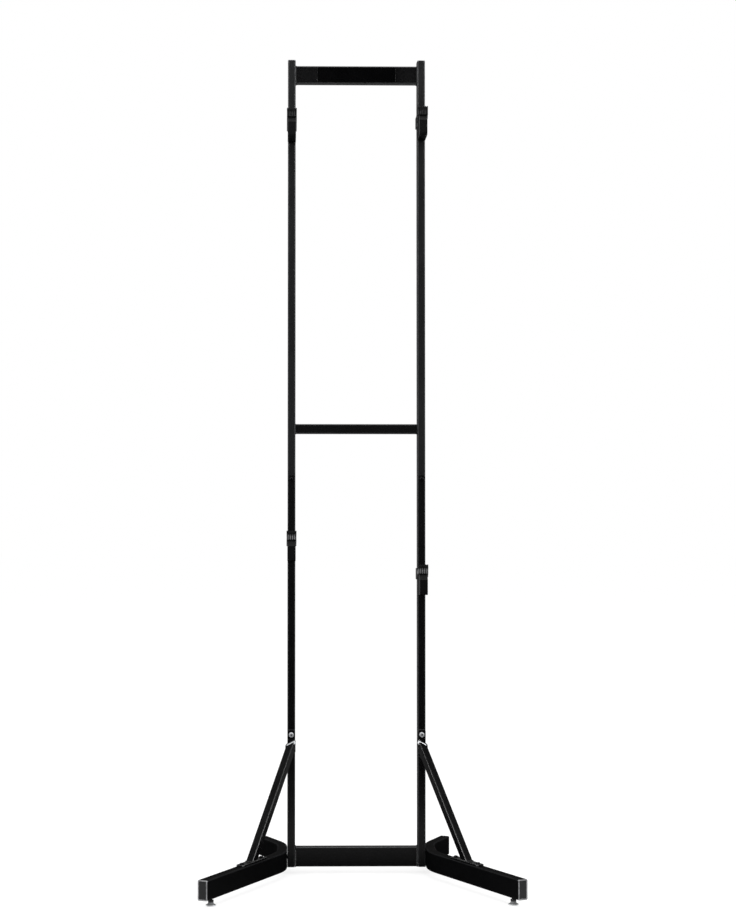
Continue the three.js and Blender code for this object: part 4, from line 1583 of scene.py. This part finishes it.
    def _seat(self) -> None:
        """Makes the rubber seat and its ribs, tinted lighter as painted light where they come down round the
        lip.
        """
        bm = start_mesh()
        self._band(bm, 0.0, self.head_width, self.gap, self.gap + self.rubber, self.rubber_corner)
        plain = set(bm.verts)
        span = self.head_width - self.rib_width
        for index in range(self.ribs):
            x = span * (index / (self.ribs - 1) - 0.5)
            top = self.gap + self.rubber + self.rib
            self._band(bm, x, self.rib_width, self.gap + self.rubber / 2, top, self.rib_corner)
        # Only the ribs low on the lip take the tint: painted light, and less of it as painted shade on the
        # upper cradles.
        mark(bm, bm.verts, 0.0)
        lit_rib_top = self.lip_neck + self.worn_band + self.gap
        mark(bm, [vert for vert in bm.verts if vert not in plain and vert.co.z < lit_rib_top], self.rib_painted_light)
        move(bm, (self.x, self.front, self.base))
        self._settle(bm, "cradle_saddle", "rubber", RIBBED_RUBBER_PAINTED_LIGHT)

    def _band(self, bm: BMesh, x: float, width: float, low: float, high: float, corner: float) -> None:
        """Sweeps one band of the rubber over the rail.

        Args:
            bm: The mesh.
            x: The band's middle.
            width: Its width.
            low: Its distance off the arm.
            high: Its outer distance off the arm.
            corner: Its corner radius.
        """
        outline = rounded_section(bm, width, high - low, corner, steps=4)
        middle = Matrix.Translation((x, -self.back - (low + high) / 2, self.sleeve_top))
        place(bm, middle @ Z_TO_FRONT, corners_of(outline))
        self._rail(Sweep(bm, outline)).cap()

    def _knob(self) -> None:
        """Makes the lobed clamp knob with its threaded stud."""
        low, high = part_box(f"clamp_knob_{self.label}")
        bm = start_mesh()
        grip = rod(bm, high.z - low.z, 0, self.grip, self.grip_sides)
        for vert in grip:
            angle = math.atan2(vert.co.y, vert.co.x)
            vert.co.xy *= 1 - self.lobe_depth * (1 - math.cos(self.lobes * angle))
        round_edges(bm, rims(grip, 0, self.grip), self.grip_edge, steps=4)
        top = max(bm.faces, key=lambda face: face.calc_center_median().z)
        bmesh.ops.inset_region(bm, faces=[top], thickness=self.dish_rim)
        bmesh.ops.inset_region(bm, faces=[top], thickness=self.dish_slope, depth=-self.dish_depth)
        thread(bm, self.stud, THREAD_PITCH, low.y - high.y + self.grip, self.stud_sunk)
        centre = Vector((self.x, high.y - self.grip, (low.z + high.z) / 2))
        place(bm, Matrix.Translation(centre) @ Z_TO_BACK)
        self._settle(bm, "clamp_knob", "grip", BLACK_MOULDING, "knob")

    def _settle(self, bm: BMesh, kind: str, part: str, finish: Finish, body: str = "cradle") -> None:
        """Settles a piece that stands for the cradle's node of a kind.

        Args:
            bm: The mesh.
            kind: The node's kind.
            part: What the piece is called beside it.
            finish: Its finish.
            body: The kind of body that it rides on.
        """
        node = f"{kind}_{self.label}"
        settle(bm, f"{node}_{part}", finish, f"{body}_{self.label}", [node])


# The whole frame


@dataclass
class RackFrame:
    """The uprights, the tubes between them and what closes their ends."""

    joint_hollow: float = 0.080
    cap_flange: float = 0.0025
    bead: float = 0.0019
    slim_bead: float = 0.001

    def build(self) -> None:
        """Makes the frame's pieces. The mid crossbar's beads are slim, because cradles pass close to them."""
        for side in Side:
            label = side.label
            StraightTube(f"lower_upright_{label}", 2, BLACK_COAT, hollow_high=self.joint_hollow).build()
            # The upper uprights take the lighter coat, as painted light from above.
            StraightTube(f"upper_upright_{label}", 2, PAINTED_LIGHT_COAT, hollow_low=self.joint_hollow).build()
            self._plugs(side)
            FrameScrews(side).build()
        beads = {"base_crossbar": self.bead, "mid_crossbar": self.slim_bead, "top_panel": self.bead}
        for node, bead in beads.items():
            StraightTube(node, 0, BLACK_COAT).build()
            BarWelds(node, bead).build()
        SignPlate().build()

    def _plugs(self, side: Side) -> None:
        """Makes an upright's top cap and bottom plug.

        Args:
            side: The side of the upright.
        """
        flange = self.cap_flange
        cap_low, cap_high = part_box(f"top_cap_{side.label}")
        x = abs(cap_low.x + cap_high.x) / 2
        y = (cap_low.y + cap_high.y) / 2
        sizes = (cap_high.x - cap_low.x, cap_high.y - cap_low.y, flange)
        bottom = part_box(f"bottom_plug_{side.label}")[0].z
        Plug("top_cap", *sizes, AXIS_Z, AXIS_X, Vector((x, y, cap_high.z - flange))).build(side)
        Plug("bottom_plug", *sizes, -AXIS_Z, AXIS_X, Vector((x, y, bottom + flange))).build(side)


# The studio


@dataclass(frozen=True)
class Softbox:
    """A rectangular soft light that points at a height on the rack's middle line."""

    name: str
    stand: tuple[float, float, float]
    aim: float
    size: tuple[float, float]
    watts: float

    def build(self) -> None:
        """Adds the light."""
        data = bpy.data.lights.new(self.name, "AREA")
        data.shape = "RECTANGLE"
        data.size, data.size_y = self.size
        data.energy = self.watts
        lamp = add_object(self.name, data)
        look = (AXIS_Z * self.aim - Vector(self.stand)).to_track_quat("-Z", "Y")
        lamp.matrix_world = Matrix.Translation(self.stand) @ look.to_matrix().to_4x4()


SOFTBOXES = (
    Softbox("top softbox", (0.0, 0.3, 4.6), 0.6, (3.6, 3.0), 60),
    Softbox("front softbox", (0.0, -2.6, 4.4), 0.6, (3.2, 1.2), 45),
    Softbox("left softbox", (-3.2, -2.6, 3.3), 0.7, (0.9, 1.6), 80),
    Softbox("right softbox", (3.2, -2.6, 3.3), 0.7, (0.9, 1.6), 80),
)


@dataclass
class Studio:
    """The pale floor, the soft lights, the white backdrop and the camera.

    The camera sees all of it white. Reflections see a room with a dim front and lit back and sides, and
    a floor that is dim in front, apart from a lit strip just before the uprights, and lit at the back.
    """

    camera_place: tuple[float, float, float] = (-0.1771, -4.8055, 0.9379)
    yaw: float = 0.0164
    pitch: float = 0.0249
    roll: float = 0.0005
    focal_pixels: float = 1928.3
    shift_pixels: float = 49.2
    image_height: float = 914.0
    sensor: float = 36.0
    ambient: float = 0.85
    room_dim: float = 0.012
    room_lit: float = 0.1
    room_back: tuple[float, float] = (-0.3, 0.3)
    room_sides: tuple[float, float] = (0.6, 0.95)
    room_low: tuple[float, float] = (0.0, 0.2)
    floor_size: float = 30.0
    floor_pale: float = 0.9
    floor_glow: float = 1.1
    floor_glow_share: float = 0.7
    floor_dim: float = 0.01
    floor_lit: float = 0.16
    floor_back: tuple[float, float] = (0.2, 1.2)
    strip_lit: float = 0.34
    strip_depth: float = 0.5
    strip_fade: tuple[float, float] = (0.0, 0.6)

    def build(self) -> None:
        """Makes the floor, lights, world and camera."""
        bpy.context.scene.view_settings.view_transform = "Standard"
        self._floor()
        self._world()
        for softbox in SOFTBOXES:
            softbox.build()
        self._camera()

    def _camera(self) -> None:
        """Places the camera as the photograph was taken."""
        data = bpy.data.cameras.new("camera")
        data.sensor_fit = "AUTO"
        data.sensor_width = self.sensor
        data.lens = self.focal_pixels * self.sensor / self.image_height
        data.shift_x = self.shift_pixels / self.image_height
        camera = add_object("camera", data)
        level = math.cos(self.pitch)
        forward = Vector((math.sin(self.yaw) * level, math.cos(self.yaw) * level, math.sin(self.pitch)))
        turn = forward.to_track_quat("-Z", "Y").to_matrix().to_4x4() @ Matrix.Rotation(self.roll, 4, "Z")
        camera.matrix_world = Matrix.Translation(self.camera_place) @ turn
        bpy.context.scene.camera = camera

    def _world(self) -> None:
        """Lights the scene softly, with a white backdrop and the room that reflections see."""
        world = bpy.data.worlds.new("studio")
        bpy.context.scene.world = world
        graph = Graph.of(world)
        direction = graph.add("TexCoord").outputs["Generated"]
        across = graph.maths("ABSOLUTE", graph.part(direction, 0), 0.0)
        room = graph.maths(
            "ADD",
            graph.ramp(graph.part(direction, 1), *self.room_back, self.room_dim, self.room_lit),
            graph.ramp(across, *self.room_sides, 0.0, self.room_lit),
            graph.ramp(graph.part(direction, 2), *self.room_low, self.room_lit, 0.0),
        )
        path = graph.add("LightPath").outputs
        level = graph.add("Mix", {0: path["Is Glossy Ray"], 2: self.ambient, 3: room}, data_type="FLOAT")
        soft = graph.add("Background", {"Color": WHITE, "Strength": level.outputs[0]})
        white = graph.add("Background", {"Color": WHITE, "Strength": 1.0})
        mixed = graph.add("MixShader", {0: path["Is Camera Ray"], 1: soft.outputs[0], 2: white.outputs[0]})
        graph.add("OutputWorld", {"Surface": mixed.outputs[0]})

    def _floor(self) -> None:
        """Lays the pale floor, which keeps a soft shadow."""
        bm = bmesh.new()
        bmesh.ops.create_grid(bm, x_segments=1, y_segments=1, size=self.floor_size)
        mesh = bpy.data.meshes.new("floor")
        bm.to_mesh(mesh)
        bm.free()
        material = bpy.data.materials.new("pale floor")
        graph = Graph.of(material)
        path = graph.add("LightPath").outputs
        pale = graph.add("BsdfDiffuse", {"Color": (self.floor_pale, self.floor_pale, self.floor_pale, 1)})
        glow = graph.add("Emission", {"Color": WHITE, "Strength": self.floor_glow})
        share = graph.maths("MULTIPLY", path["Is Camera Ray"], self.floor_glow_share)
        seen = graph.add("MixShader", {0: share, 1: pale.outputs[0], 2: glow.outputs[0]})
        depth = graph.part(graph.add("TexCoord").outputs["Object"], 1)
        from_strip = graph.maths("ABSOLUTE", graph.maths("ADD", depth, self.strip_depth), 0.0)
        lit = graph.maths(
            "ADD",
            graph.ramp(depth, *self.floor_back, self.floor_dim, self.floor_lit),
            graph.ramp(from_strip, *self.strip_fade, self.strip_lit, 0.0),
        )
        dim = graph.add("Emission", {"Color": WHITE, "Strength": lit})
        mixed = graph.add("MixShader", {0: path["Is Glossy Ray"], 1: seen.outputs[0], 2: dim.outputs[0]})
        graph.add("OutputMaterial", {"Surface": mixed.outputs[0]})
        mesh.materials.append(material)
        add_object("floor", mesh)


def dress_hidden_nodes(frame: dict) -> None:
    """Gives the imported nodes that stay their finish.
    """
    for name, node in frame["nodes"].items():
        if node.hide_render:
            continue
        node.data.materials.clear()
        node.data.materials.append(ZINC.material())
        LOG.info("%s keeps its packed shape", name)


def main() -> None:
    """Builds the rack and the studio around it."""
    logging.basicConfig(level=logging.INFO, format="%(message)s")
    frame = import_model()
    low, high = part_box("lower_upright_right")
    path = LegPath((low.y + high.y) / 2, (low.x + high.x) / 2)
    RackFrame().build()
    for side in Side:
        Leg(side, path).build()
        Brace(side, path).build()
    # The upper cradles' ribs take little painted light, as painted shade; the lower ones take it all.
    for tier, rib_painted_light in (("upper", 0.2), ("lower", 1.0)):
        for side in Side:
            Cradle(tier, side, rib_painted_light).build()
    dress_hidden_nodes(frame)
    Studio().build()


if __name__ == "__main__":
    main()
